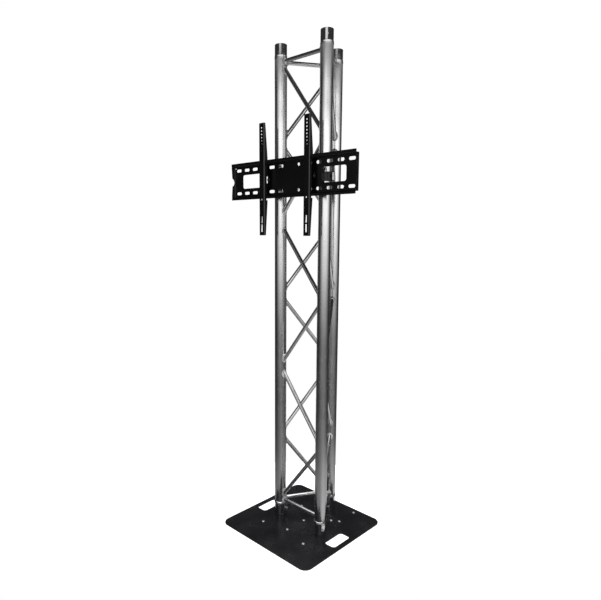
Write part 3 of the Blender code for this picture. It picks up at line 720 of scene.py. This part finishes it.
def make_receivers():
    upper = receiver_mesh(COLLAR_TAPER)
    lower = receiver_mesh(0.0)
    lower.transform(Matrix.Rotation(pi, 4, "X"))
    upper_seam, lower_seam = [seam_mesh(rise) for rise in SEAM_RISE]
    overlap = 0.0005
    for place in PLACES:
        add_piece("upper_receiver_turned_" + place, upper.copy(), "machined",
                  place=at_chord(place, TRUSS_TOP), replaces=["upper_receiver_" + place])
        add_piece("lower_receiver_turned_" + place, lower.copy(), "machined",
                  place=at_chord(place, TRUSS_BOTTOM), replaces=["lower_receiver_" + place])
        add_piece("upper_seam_weld_" + place, upper_seam.copy(), "machined",
                  place=at_chord(place, TRUSS_TOP - RECEIVER_COLLAR - overlap))
        add_piece("lower_seam_weld_" + place, lower_seam.copy(), "machined",
                  place=at_chord(place, TRUSS_BOTTOM + RECEIVER_COLLAR + overlap - SEAM_HEIGHT))


def reach_to_chord(point, way, chord, radius):
    """Distance from a point along way to a chord's surface of that radius."""
    flat = Vector((way.x, way.y))
    offset = Vector((point.x - chord.x, point.y - chord.y))
    a = flat.dot(flat)
    b = 2.0 * flat.dot(offset)
    c = offset.dot(offset) - radius * radius
    return (-b - sqrt(b * b - 4.0 * a * c)) / (2.0 * a)


def brace_frame(first, first_z, second, second_z):
    """Place in the middle between two points on chord axes, with Z from one to the other."""
    start = Vector((*CHORDS[first].xy, first_z))
    end = Vector((*CHORDS[second].xy, second_z))
    way = (end - start).normalized()
    return Matrix.Translation((start + end) / 2.0) @ facing(way)


def axis_of(place):
    turn = place.to_3x3()
    return place.translation, turn, turn @ Vector((0.0, 0.0, 1.0))


def brace_mesh(place, first, second, sides=48):
    """A tube between two chords, in its own frame, its ends shaped to the chords."""
    middle, turn, way = axis_of(place)
    shape = bmesh.new()
    rings = []
    for sign, chord in ((-1.0, CHORDS[first]), (1.0, CHORDS[second])):
        ring = []
        for index in range(sides):
            local = Vector(polar(BRACE_RADIUS, 2.0 * pi * index / sides, 0.0))
            reach = reach_to_chord(middle + turn @ local, way * sign, chord, CHORD_RADIUS - BRACE_DIP)
            ring.append(shape.verts.new(local + Vector((0.0, 0.0, sign * reach))))
        rings.append(ring)
    skin(shape, *rings)
    for ring in rings:
        hub = shape.verts.new(sum((vert.co for vert in ring), Vector()) / sides)
        for index in range(sides):
            shape.faces.new((ring[index], ring[(index + 1) % sides], hub))
    return to_mesh("brace", shape, 40.0)


def bead_rings(shape, place, sign, chord, rng, steps=150):
    """The fillet weld round one end of a brace, as a closed ring of rippled metal."""
    middle, turn, way = axis_of(place)
    way = way * sign
    ripples = rng.randint(19, 22)
    start = rng.uniform(0.0, 6.28)
    root = 0.0008
    dip = 0.0005
    loops = []
    for index in range(steps):
        angle = 2.0 * pi * index / steps
        radial = turn @ Vector(polar(1.0, angle, 0.0))
        point = middle + radial * BRACE_RADIUS
        point = point + way * reach_to_chord(point, way, chord, CHORD_RADIUS)
        normal = Vector((point.x - chord.x, point.y - chord.y, 0.0)).normalized()
        over = (radial - normal * radial.dot(normal)).normalized()
        back = -way
        wave = abs(sin(angle * ripples / 2.0 + start))
        size = WELD_LEG + WELD_RIPPLE * wave + 0.0006 * sin(angle * 2.0 + start)
        crown = 0.0006 * wave
        section = [point - normal * root - radial * root]
        for step in range(6):
            turn_angle = radians(90.0) * step / 5.0
            bulge = size + crown * sin(2.0 * turn_angle)
            offset = over * cos(turn_angle) * bulge + back * sin(turn_angle) * bulge
            sink = normal * dip * cos(turn_angle) + radial * dip * sin(turn_angle)
            section.append(point + offset - sink)
        loops.append([shape.verts.new(corner) for corner in section])
    for here, after in zip(loops, loops[1:] + loops[:1]):
        skin(shape, here, after)


def make_braces():
    rng = random.Random(7)
    bay = (NODE_HIGH - NODE_LOW) / BAYS
    for face, (first, second) in FACES.items():
        braces = [("upper_strut_" + face, first, NODE_HIGH, second, NODE_HIGH),
                  ("lower_strut_" + face, first, NODE_LOW, second, NODE_LOW)]
        for index in range(BAYS):
            pair = (first, second) if index % 2 == 0 else (second, first)
            top = NODE_HIGH - index * bay
            name = "diagonal_%s_%d" % (face, index + 1)
            upper, lower = BRACE_SHIFTS.get(name, (0.0, 0.0))
            braces.append((name, pair[0], top + upper, pair[1], top - bay + lower))
        for node, start, start_z, end, end_z in braces:
            place = brace_frame(start, start_z, end, end_z)
            add_piece(node + "_tube", brace_mesh(place, start, end), "tube", place=place, replaces=[node])
            shape = bmesh.new()
            bead_rings(shape, place, -1.0, CHORDS[start], rng)
            bead_rings(shape, place, 1.0, CHORDS[end], rng)
            add_piece(node + "_welds", to_mesh("welds", shape, 50.0), "weld")


# -- base plate

def make_base_plate():
    outline = rounded_rectangle(2 * PLATE_HALF, 2 * PLATE_HALF, PLATE_CORNER, 16)
    offset, width, length, corner = HANDLE
    holes = [rounded_rectangle(width, length, corner, 12, (side * offset, 0.0)) for side in (-1, 1)]
    holes += [circle(FIXING_HOLE, 32, place) for place in SPARE_HOLES]
    holes += [circle(SMALL_HOLE, 24, place) for place in SMALL_HOLES]
    holes += [circle(COUNTERSINK, 48, CHORDS[place].xy) for place in PLACES]
    shape = sheet_solid(outline, holes, PLATE_TOP, 0.0008, 4)
    plate = faired(to_mesh("base_plate", shape, 180.0))
    add_piece("base_plate_coated", plate, "base", place=at(0.0, 0.0, PLATE_TOP / 2.0),
              replaces=["base_plate"])
    for number, (x, y) in enumerate(SPARE_HOLES, 1):
        inner, outer = FIXING_HOLE - LINER, FIXING_HOLE + LINER
        low, high = LINER, PLATE_TOP - 0.0006
        profile = [(outer, low), (outer, high), (inner, high), (inner, low)]
        bore = lathe("bore", profile, 32, True)
        add_piece("base_plate_bore_%d" % number, bore, "machined", place=at(x, y, 0.0))
    for place in PLACES:
        wide, high = COUNTERSINK - LINER, PLATE_TOP - LINER
        narrow = 0.0065
        profile = [(wide, 0.0008), (wide, high), (narrow, high), (narrow, high - 0.001),
                   (wide - 0.0006, 0.0008)]
        seat = lathe("seat", profile, 48, True)
        add_piece("base_plate_countersink_" + place, seat, "base", place=on_axis(place))


def make_couplers():
    for place in PLACES:
        gap = 0.0002
        base = PLATE_TOP + gap
        top = TRUSS_BOTTOM - gap
        radius = 0.024
        edge = 0.0008
        tip = top + 0.052
        profile = [(0.0, base), (radius - edge, base), (radius, base + edge), (radius, top - edge),
                   (radius - edge, top), (0.0198, top), (0.0168, tip - 0.002), (0.015, tip), (0.0, tip)]
        coupler = lathe("coupler", profile, 72)
        add_piece("base_coupler_turned_" + place, coupler, "machined", place=at_chord(place, 0.0),
                  replaces=["base_coupler_" + place])
        head = 0.012
        profile = [(0.0, 0.0004), (head - 0.0004, 0.0004), (head, 0.0008), (0.006, 0.005),
                   (0.006, 0.018), (0.0, 0.018)]
        socket = prism("socket", circle(0.0046, 6), -0.001, 0.004)
        bolt = shade(bevelled(cut(lathe("bolt", profile, 48), [socket]), 0.0002), 35.0)
        add_piece("base_bolt_plated_" + place, bolt, "zinc", place=on_axis(place),
                  replaces=["base_bolt_" + place])


def make_pins():
    inner, outer = -0.0355, 0.0268
    for place in PLACES:
        profile = [(0.0, inner), (0.0034, inner), (0.0044, inner + 0.0012), (0.005, outer - 0.001),
                   (0.004, outer), (0.0, outer)]
        pin = lathe("pin", profile, 48)
        pin.transform(Matrix.Rotation(pi / 2.0, 4, "Y"))
        add_piece("coupler_pin_plated_" + place, pin, "zinc",
                  place=at_chord(place, TRUSS_BOTTOM + PIN_DEPTH), replaces=["coupler_pin_" + place])


def clip_points():
    """Centre line of a spring clip, in Y and Z: leg, round bow, and a waved second leg."""
    bow = 0.0034
    points = [(0.0, -0.0125), (0.0, -0.006), (0.0, 0.006), (0.0, 0.015)]
    points += [(bow + u, 0.0185 + v) for u, v in arc((0.0, 0.0), bow, 200.0, -20.0, 10)]
    points += [(0.0058, 0.014), (0.0058, 0.008), (0.0066, 0.003), (0.007, -0.0015),
               (0.0063, -0.0055), (0.0072, -0.009)]
    return points


def make_clips():
    for place in PLACES:
        curve = bpy.data.curves.new("clip_wire", "CURVE")
        curve.dimensions = "3D"
        curve.bevel_depth = CLIP_WIRE
        curve.bevel_resolution = 5
        curve.resolution_u = 6
        curve.use_fill_caps = True
        points = clip_points()
        spline = curve.splines.new("NURBS")
        spline.points.add(len(points) - 1)
        for point, (across, up) in zip(spline.points, points):
            point.co = (0.0, across, up, 1.0)
        spline.order_u = 3
        spline.use_endpoint_u = True
        place_at = at_chord(place, TRUSS_BOTTOM + PIN_DEPTH) @ at(-0.031, 0.0, 0.0)
        add_piece("r_clip_wire_" + place, curve, "zinc", "clip_" + place, place_at, ["r_clip_" + place])


# -- bracket

def wall_plate_outline(half_x, half_z, flange_half, relief_x):
    """Flat pattern: a sheet with a shelf and lip above and below and a flange at each end."""
    top = BRACKET_HALF - 0.0005
    shelf_start = flange_half + 0.0004
    scoop = arc((half_x + 0.0042, 0.0), 0.0185, 246.0, 114.0, 16)
    quarter = [(half_x, flange_half), (relief_x, flange_half), (relief_x, shelf_start),
               (top, shelf_start), (top, half_z)]
    right = mirrored(quarter[::-1])
    left = [(-x, z) for x, z in reversed(right)]
    middle = len(quarter)
    right[middle:middle] = [(x, -z) for x, z in scoop]
    left[len(left) - middle:len(left) - middle] = [(-x, z) for x, z in scoop]
    return right + left


def make_wall_plate():
    depth = (SHEET_BACK - SHEET / 2.0) - (LIP_FRONT + SHEET / 2.0)
    shelf_run = SHELF - SHEET / 2.0 - BEND
    upward = [("run", shelf_run), ("bend", 90.0), ("run", depth - 2 * BEND), ("bend", -90.0),
              ("run", LIP_END - SHELF + SHEET / 2.0 - BEND)]
    across = [("run", BRACKET_HALF - SHEET / 2.0 - BEND), ("bend", 90.0), ("run", depth + 0.0005 - BEND)]
    half_x = flat_length(across)
    half_z = flat_length(upward)
    flange_half = shelf_run + 0.0016
    outline = wall_plate_outline(half_x, half_z, flange_half, across[0][1] - 0.0005)
    holes = []
    middle = (WINDOW[0] + WINDOW[1]) / 2.0
    for row in (-ROW_OFFSET, ROW_OFFSET):
        holes.append(circle(ROUND_HOLE[1], 32, (ROUND_HOLE[0], row)))
        holes += [slot_outline(*SLOT_SIZE, 8, (column * SLOT_PITCH, row)) for column in SLOT_COLUMNS]
    for side in (-1, 1):
        holes.append(rounded_rectangle(WINDOW[1] - WINDOW[0], *WINDOW[2:], 8, (side * middle, 0.0)))
        holes.append(slot_outline(*UPRIGHT_SLOT[1:], 8, (side * UPRIGHT_SLOT[0], 0.0)))
        holes.append(circle(BOLT_HOLE, 24, (side * CHORDS["right"].x, 0.0)))
        holes.append(circle(CORNER_HOLE[2], 20, (side * CORNER_HOLE[0], CORNER_HOLE[1])))
    mesh = folded_sheet("wall_plate_sheet", outline, holes, across, upward, flange_half + 0.0002)
    place = at(0.0, SHEET_BACK - SHEET / 2.0, BRACKET_Z)
    add_piece("wall_plate_sheet", mesh, "bracket", place=place, replaces=["wall_plate"])


def arm_outline(across):
    """Flat pattern of an arm: a face with a flange each side, hooked over the upper lip."""
    def flat(depth):
        return across[0][1] + BEND * pi / 2.0 + depth - SHEET / 2.0 - BEND
    lip_front = LIP_FRONT - ARM_FRONT - 0.0005
    lip_back = lip_front + SHEET + 0.0009
    throat = LIP_END + 0.0003
    shoulder = -LIP_END - 0.0065
    rail = flat(ARM_RAIL_DEPTH)
    side = [(flat(ARM_TOP_DEPTH), ARM_TOP), (flat(ARM_RAIL_DEPTH - 0.001), throat + 0.022),
            (rail, throat + 0.012), (rail, SHELF + 0.003), (flat(lip_back), SHELF + 0.003),
            (flat(lip_back), throat), (flat(lip_front), throat), (flat(lip_front), shoulder),
            (rail, shoulder), (flat(ARM_BOTTOM_DEPTH), ARM_BOTTOM)]
    return rounded(side + [(-x, z) for x, z in reversed(side)], 0.0012)


def make_arm(place):
    across = [("run", ARM_HALF_WIDTH - SHEET / 2.0 - BEND), ("bend", -90.0), ("run", 0.03)]
    holes = []
    for index in range(ARM_HOLES):
        holes.append(circle(ARM_HOLE, 24, (0.0, ARM_TOP - ARM_FIRST_HOLE - index * ARM_HOLE_PITCH)))
    holes += [slot_outline(ARM_SLOT_WIDTH, length, 8, (0.0, height)) for height, length in ARM_SLOTS]
    holes.append(circle(0.003, 24, (0.0, -LIP_END - 0.0035)))
    mesh = folded_sheet("arm_sheet", arm_outline(across), holes, across, [("run", 1.0)])
    place_at = at(centre_of("tv_arm_" + place).x, ARM_FRONT + SHEET / 2.0, BRACKET_Z)
    add_piece("tv_arm_sheet_" + place, mesh, "bracket", "arm_" + place, place_at, ["tv_arm_" + place])


def make_fixing_bolts():
    for place, side in SIDES.items():
        profile = [(0.0, -0.004), (0.0026, -0.004), (0.0046, -0.0035), (0.0061, -0.0025),
                   (0.0069, -0.0012), (0.007, -0.0002), (0.0068, 0.0), (0.0039, 0.0), (0.0039, 0.03),
                   (0.0, 0.03)]
        socket = prism("socket", circle(0.0025, 6), -0.006, -0.0015)
        bolt = shade(cut(lathe("bolt", profile, 48), [socket]), 35.0)
        bolt.transform(BACKWARDS)
        seat = SHEET_BACK - SHEET - 0.0002
        place_at = at(CHORDS[place].x, seat, BRACKET_Z)
        add_piece("fixing_bolt_black_" + place, bolt, "bracket", place=place_at,
                  replaces=["fixing_bolt_" + place])


# -- clamps

def ring_sector(start, end):
    """The part of a clamp's ring between two angles."""
    outline = arc((0.0, 0.0), CLAMP_OUTER, start, end, 48)
    outline += arc((0.0, 0.0), CLAMP_INNER, end, start, 48)
    return prism("sector", outline, -CLAMP_HALF, CLAMP_HALF)


def knuckle(side, direction, low, high):
    """A hinge barrel and the web that ties it to the ring behind or in front of it."""
    centre = (side * CLAMP_HINGE, 0.0)
    web = block("web", (side * 0.0285, direction * 0.003, low),
                (side * CLAMP_HINGE, direction * KNUCKLE_RADIUS, high))
    return [prism("barrel", circle(KNUCKLE_RADIUS, 40, centre), low, high), web]


def clamp_place(side):
    return at(side * CHORDS["right"].x, CHORDS["right"].y, BRACKET_Z)


def make_saddle(place, side):
    half = CLAMP_HALF
    boss_end = SHEET_BACK - CHORDS["right"].y + 0.0002
    parts = [ring_sector(186.0, 354.0), block("foot", (-0.016, -0.052, -half), (0.016, -0.0272, half)),
             bar("boss", (0.0, -0.05, 0.0), (0.0, boss_end, 0.0), 0.0075, 48)]
    for hinge in (-1, 1):
        parts += knuckle(hinge, -1, KNUCKLE_HALF, half)
        parts += knuckle(hinge, -1, -half, -KNUCKLE_HALF)
    mesh = softened("saddle", parts, 0.0007)
    add_piece("clamp_saddle_cast_" + place, mesh, "clamp", place=clamp_place(side),
              replaces=["clamp_saddle_" + place])
    for hinge, word in ((-side, "inner"), (side, "outer")):
        profile = [(0.0, -0.0187), (0.0026, -0.0187), (RIVET_RADIUS, -0.0179)]
        if word == "outer":
            profile += [(RIVET_RADIUS, -0.0145), (SLEEVE_RADIUS - 0.0005, -0.0145),
                        (SLEEVE_RADIUS, -0.014)]
        rivet = lathe("rivet", mirrored(profile), 40)
        place_at = clamp_place(side) @ at(hinge * CLAMP_HINGE, 0.0, 0.0)
        add_piece("clamp_%s_rivet_%s" % (word, place), rivet, "zinc", place=place_at)


def make_jaw(place, side):
    middle = KNUCKLE_HALF - 0.0003
    ear = CLAMP_HALF - 0.004
    parts = [ring_sector(6.0, 174.0)] + knuckle(side, 1, -middle, middle)
    parts.append(block("ear", (-side * 0.027, 0.0072, -ear), (-side * 0.048, EAR_BACK, ear)))
    mesh = softened("jaw", parts, 0.0007)
    notch = block("notch", (-side * 0.0332, 0.0, -0.0056), (-side * 0.05, 0.02, 0.0056))
    mesh = shade(cut(mesh, [notch]), 50.0)
    add_piece("clamp_jaw_cast_" + place, mesh, "clamp", place=clamp_place(side),
              replaces=["clamp_jaw_" + place])


def threaded_rod(name, radius, pitch, depth, low, high, sides=40):
    """A rod along Z whose surface is a helical thread, tapered at its free end."""
    shape = bmesh.new()
    rows = int((high - low) / (pitch / 8.0))
    rings = []
    for row in range(rows + 1):
        z = low + (high - low) * row / rows
        ring = []
        taper = max(0.0, z - (high - 0.0012)) * 0.8
        for index in range(sides):
            turn = (z / pitch - index / sides) % 1.0
            cut_in = depth * (1.0 - abs(2.0 * turn - 1.0))
            ring.append(shape.verts.new(polar(radius - cut_in - taper, 2.0 * pi * index / sides, z)))
        rings.append(ring)
    for lower, upper in zip(rings, rings[1:]):
        skin(shape, lower, upper)
    shape.faces.new(rings[0])
    shape.faces.new(rings[-1])
    return to_mesh(name, shape, 60.0)


def make_eye_bolt(place, side):
    profile = [(0.0036, -0.005), (0.0042, -0.0055), (0.0062, -0.0055), (0.007, -0.0045)]
    eye = lathe("eye", mirrored(profile), 56, True)
    shank = threaded_rod("shank", 0.00495, 0.0015, 0.0008, 0.006, 0.04)
    shank.transform(BACKWARDS)
    place_at = clamp_place(side) @ at(-side * CLAMP_HINGE, 0.0, 0.0)
    add_piece("clamp_eye_bolt_threaded_" + place, joined("eye_bolt", [eye, shank]), "zinc", place=place_at,
              replaces=["clamp_eye_bolt_" + place])


def make_wing_nut(place, side):
    low = EAR_BACK + 0.0003
    hub = lathe("hub", [(0.0, low), (0.0088, low), (0.0092, low + 0.0005), (0.0092, low + 0.003),
                        (0.0082, low + 0.0045), (0.0072, 0.0245), (0.0066, 0.025), (0.0, 0.025)], 48)
    hub.transform(BACKWARDS)
    parts = [hub]
    for reach in (-1, 1):
        outline = [(0.0055, 0.0185), (0.011, 0.0225), (0.0165, 0.03), (0.0185, 0.0345), (0.0165, 0.037),
                   (0.0125, 0.0355), (0.009, 0.0295), (0.005, 0.0245)]
        outline = rounded([(reach * u, v) for u, v in outline], 0.0022)
        parts.append(prism("wing", outline, -0.0017, 0.0017))
    nut = softened("wing_nut", parts, 0.0004, 3, 0.5)
    bore = bar("bore", (0.0, low - 0.001, 0.0), (0.0, 0.027, 0.0), 0.005, 40)
    nut = shade(cut(nut, [bore]), 50.0)
    place_at = clamp_place(side) @ at(-side * CLAMP_HINGE, 0.0, 0.0)
    add_piece("wing_nut_forged_" + place, nut, "zinc", "wing_nut_" + place, place_at,
              ["clamp_wing_nut_" + place])


# -- stage

CAMERA_PLACE = (1.4629, -1.6128, 1.2905)
CAMERA_TURN = 45.04
CAMERA_DOWN = 9.23
CAMERA_LENS = 31.66
CAMERA_SHIFT = (0.0386, 0.0242)
BAND_TURN = 8.0  # middle of the lit band, from the camera's side
BAND_LIGHT = 1.33
BAND_TOP = 1.6  # how much brighter the band is near its upper edge
BACK_LIGHT = 0.75
STRIP_TURN = -14.0  # middle of the lamp above the band
STRIP_LIGHT = 1.0
FLOOR_LIGHT = (0.2, 0.62)  # from below, at the left and at the right
LOW_LIGHT = 0.1
ROOM_LIGHT = 0.035
FLOOR_RADIUS = 0.62
FLOOR_GLOW = 0.85
# Name, place, size, spread in degrees and power; low_light only shows in reflections
LAMPS = (("key_light", (1.6, -2.2, 3.0), 2.2, 180.0, 55.0),
         ("top_light", (0.2, 0.3, 3.4), 2.0, 180.0, 60.0),
         ("back_light", (-1.8, 1.8, 2.6), 1.6, 180.0, 25.0),
         ("low_light", (-0.2, 0.1, 0.88), 1.1, 110.0, 3.4))
LAMP_AIM = 0.9  # height on the axis that the other lamps face


def make_camera():
    camera = bpy.data.cameras.new("camera")
    camera.lens = CAMERA_LENS
    camera.sensor_width = 36.0
    camera.shift_x, camera.shift_y = CAMERA_SHIFT
    item = new_object("camera", camera)
    item.location = CAMERA_PLACE
    item.rotation_euler = (radians(90.0 - CAMERA_DOWN), 0.0, radians(CAMERA_TURN))
    bpy.context.scene.camera = item


def make_world():
    """White to the eye; to the object, a dark studio with a wide lit band at eye height."""
    world = bpy.data.worlds.new("studio")
    bpy.context.scene.world = world
    world.use_nodes = True
    tree = world.node_tree
    tree.nodes.clear()
    new = tree.nodes.new
    link = tree.links.new
    split = new("ShaderNodeSeparateXYZ")
    link(new("ShaderNodeTexCoord").outputs["Generated"], split.inputs["Vector"])

    def eased(value, low, high, first, last):
        node = map_range(tree, value, low, high, first, last)
        node.interpolation_type = "SMOOTHSTEP"
        return node.outputs["Result"]

    def fade(angle, low, high, first, last):
        """Light from first to last as an angle round the object goes from low to high degrees."""
        return eased(angle, radians(low), radians(high), first, last)

    def step(low, high, first, last):
        """Light from first to last between two heights, in degrees above the level."""
        rise = split.outputs["Z"]
        return eased(rise, sin(radians(low)), sin(radians(high)), first, last)

    def times(first, second):
        return maths(tree, "MULTIPLY", first, second)

    def plus(first, second):
        return maths(tree, "ADD", first, second)

    def away_from(angle, degrees):
        return maths(tree, "ABSOLUTE", maths(tree, "SUBTRACT", angle, radians(degrees)))

    towards = maths(tree, "SUBTRACT", split.outputs["X"], split.outputs["Y"])
    across = plus(split.outputs["X"], split.outputs["Y"])
    turn = maths(tree, "ARCTAN2", across, towards)
    aside = away_from(turn, BAND_TURN)
    beside = away_from(turn, STRIP_TURN)
    behind = maths(tree, "SUBTRACT", pi, maths(tree, "ABSOLUTE", turn))

    band = plus(fade(aside, 17.0, 98.0, BAND_LIGHT, 0.0), fade(behind, 10.0, 42.0, BACK_LIGHT, 0.0))
    band = times(band, times(step(13.0, 16.6, 1.0, 0.0), step(-11.5, 1.0, 0.0, 1.0)))
    band = times(band, step(4.0, 10.0, 1.0, BAND_TOP))
    strip = times(step(16.5, 18.5, 0.0, 1.0), step(24.0, 31.0, 1.0, 0.0))
    strip = times(fade(beside, 15.0, 24.0, STRIP_LIGHT, 0.0), strip)
    below = times(step(-27.5, -22.5, 1.0, 0.0), fade(turn, -30.0, 50.0, *FLOOR_LIGHT))
    low = times(fade(aside, 10.0, 95.0, LOW_LIGHT, 0.0), step(-3.0, 3.0, 1.0, 0.0))
    light = plus(plus(band, strip), plus(plus(below, low), ROOM_LIGHT))
    background = new("ShaderNodeBackground")
    link(light, background.inputs["Strength"])
    plain = new("ShaderNodeBackground")
    fill(plain, {"Color": (1.0, 1.0, 1.0, 1.0)})
    mix = new("ShaderNodeMixShader")
    link(new("ShaderNodeLightPath").outputs["Is Camera Ray"], mix.inputs["Fac"])
    link(background.outputs["Background"], mix.inputs[1])
    link(plain.outputs["Background"], mix.inputs[2])
    link(mix.outputs["Shader"], new("ShaderNodeOutputWorld").inputs["Surface"])


def make_stage():
    shape = bmesh.new()
    bmesh.ops.create_circle(shape, cap_ends=True, radius=FLOOR_RADIUS, segments=128)
    floor = new_object("floor", to_mesh("floor", shape))
    floor.location = (0.0, 0.0, -0.0004)
    floor.visible_glossy = False
    surface = Surface("floor_paint", 0.0, 0.8, (0.9, 0.9, 0.9), 0.2)
    surface.colours(surface.noise(3.0, 2.0), (0.9, 0.9, 0.9), (0.92, 0.92, 0.92))
    fill(surface.shader, {"Emission Color": (1.0, 1.0, 1.0, 1.0), "Emission Strength": FLOOR_GLOW})
    floor.data.materials.append(surface.material)
    for name, place, size, spread, power in LAMPS:
        lamp = bpy.data.lights.new(name, "AREA")
        lamp.shape = "DISK"
        lamp.size = size
        lamp.spread = radians(spread)
        lamp.energy = power
        item = new_object(name, lamp)
        item.location = place
        low = name == "low_light"
        item.visible_glossy = low
        item.visible_diffuse = not low
        aim = Vector((0.0, 0.0, -1.0)) if low else Vector((0.0, 0.0, LAMP_AIM)) - Vector(place)
        item.rotation_euler = aim.to_track_quat("-Z", "Y").to_euler()
    bpy.context.scene.view_settings.view_transform = "Standard"


make_camera()
for chord_place in PLACES:
    make_chord(chord_place)
make_receivers()
make_braces()
make_base_plate()
make_couplers()
make_pins()
make_clips()
make_wall_plate()
for clamp_name, clamp_side in SIDES.items():
    make_arm(clamp_name)
    for make in (make_saddle, make_jaw, make_eye_bolt, make_wing_nut):
        make(clamp_name, clamp_side)
make_fixing_bolts()
make_stage()
make_world()
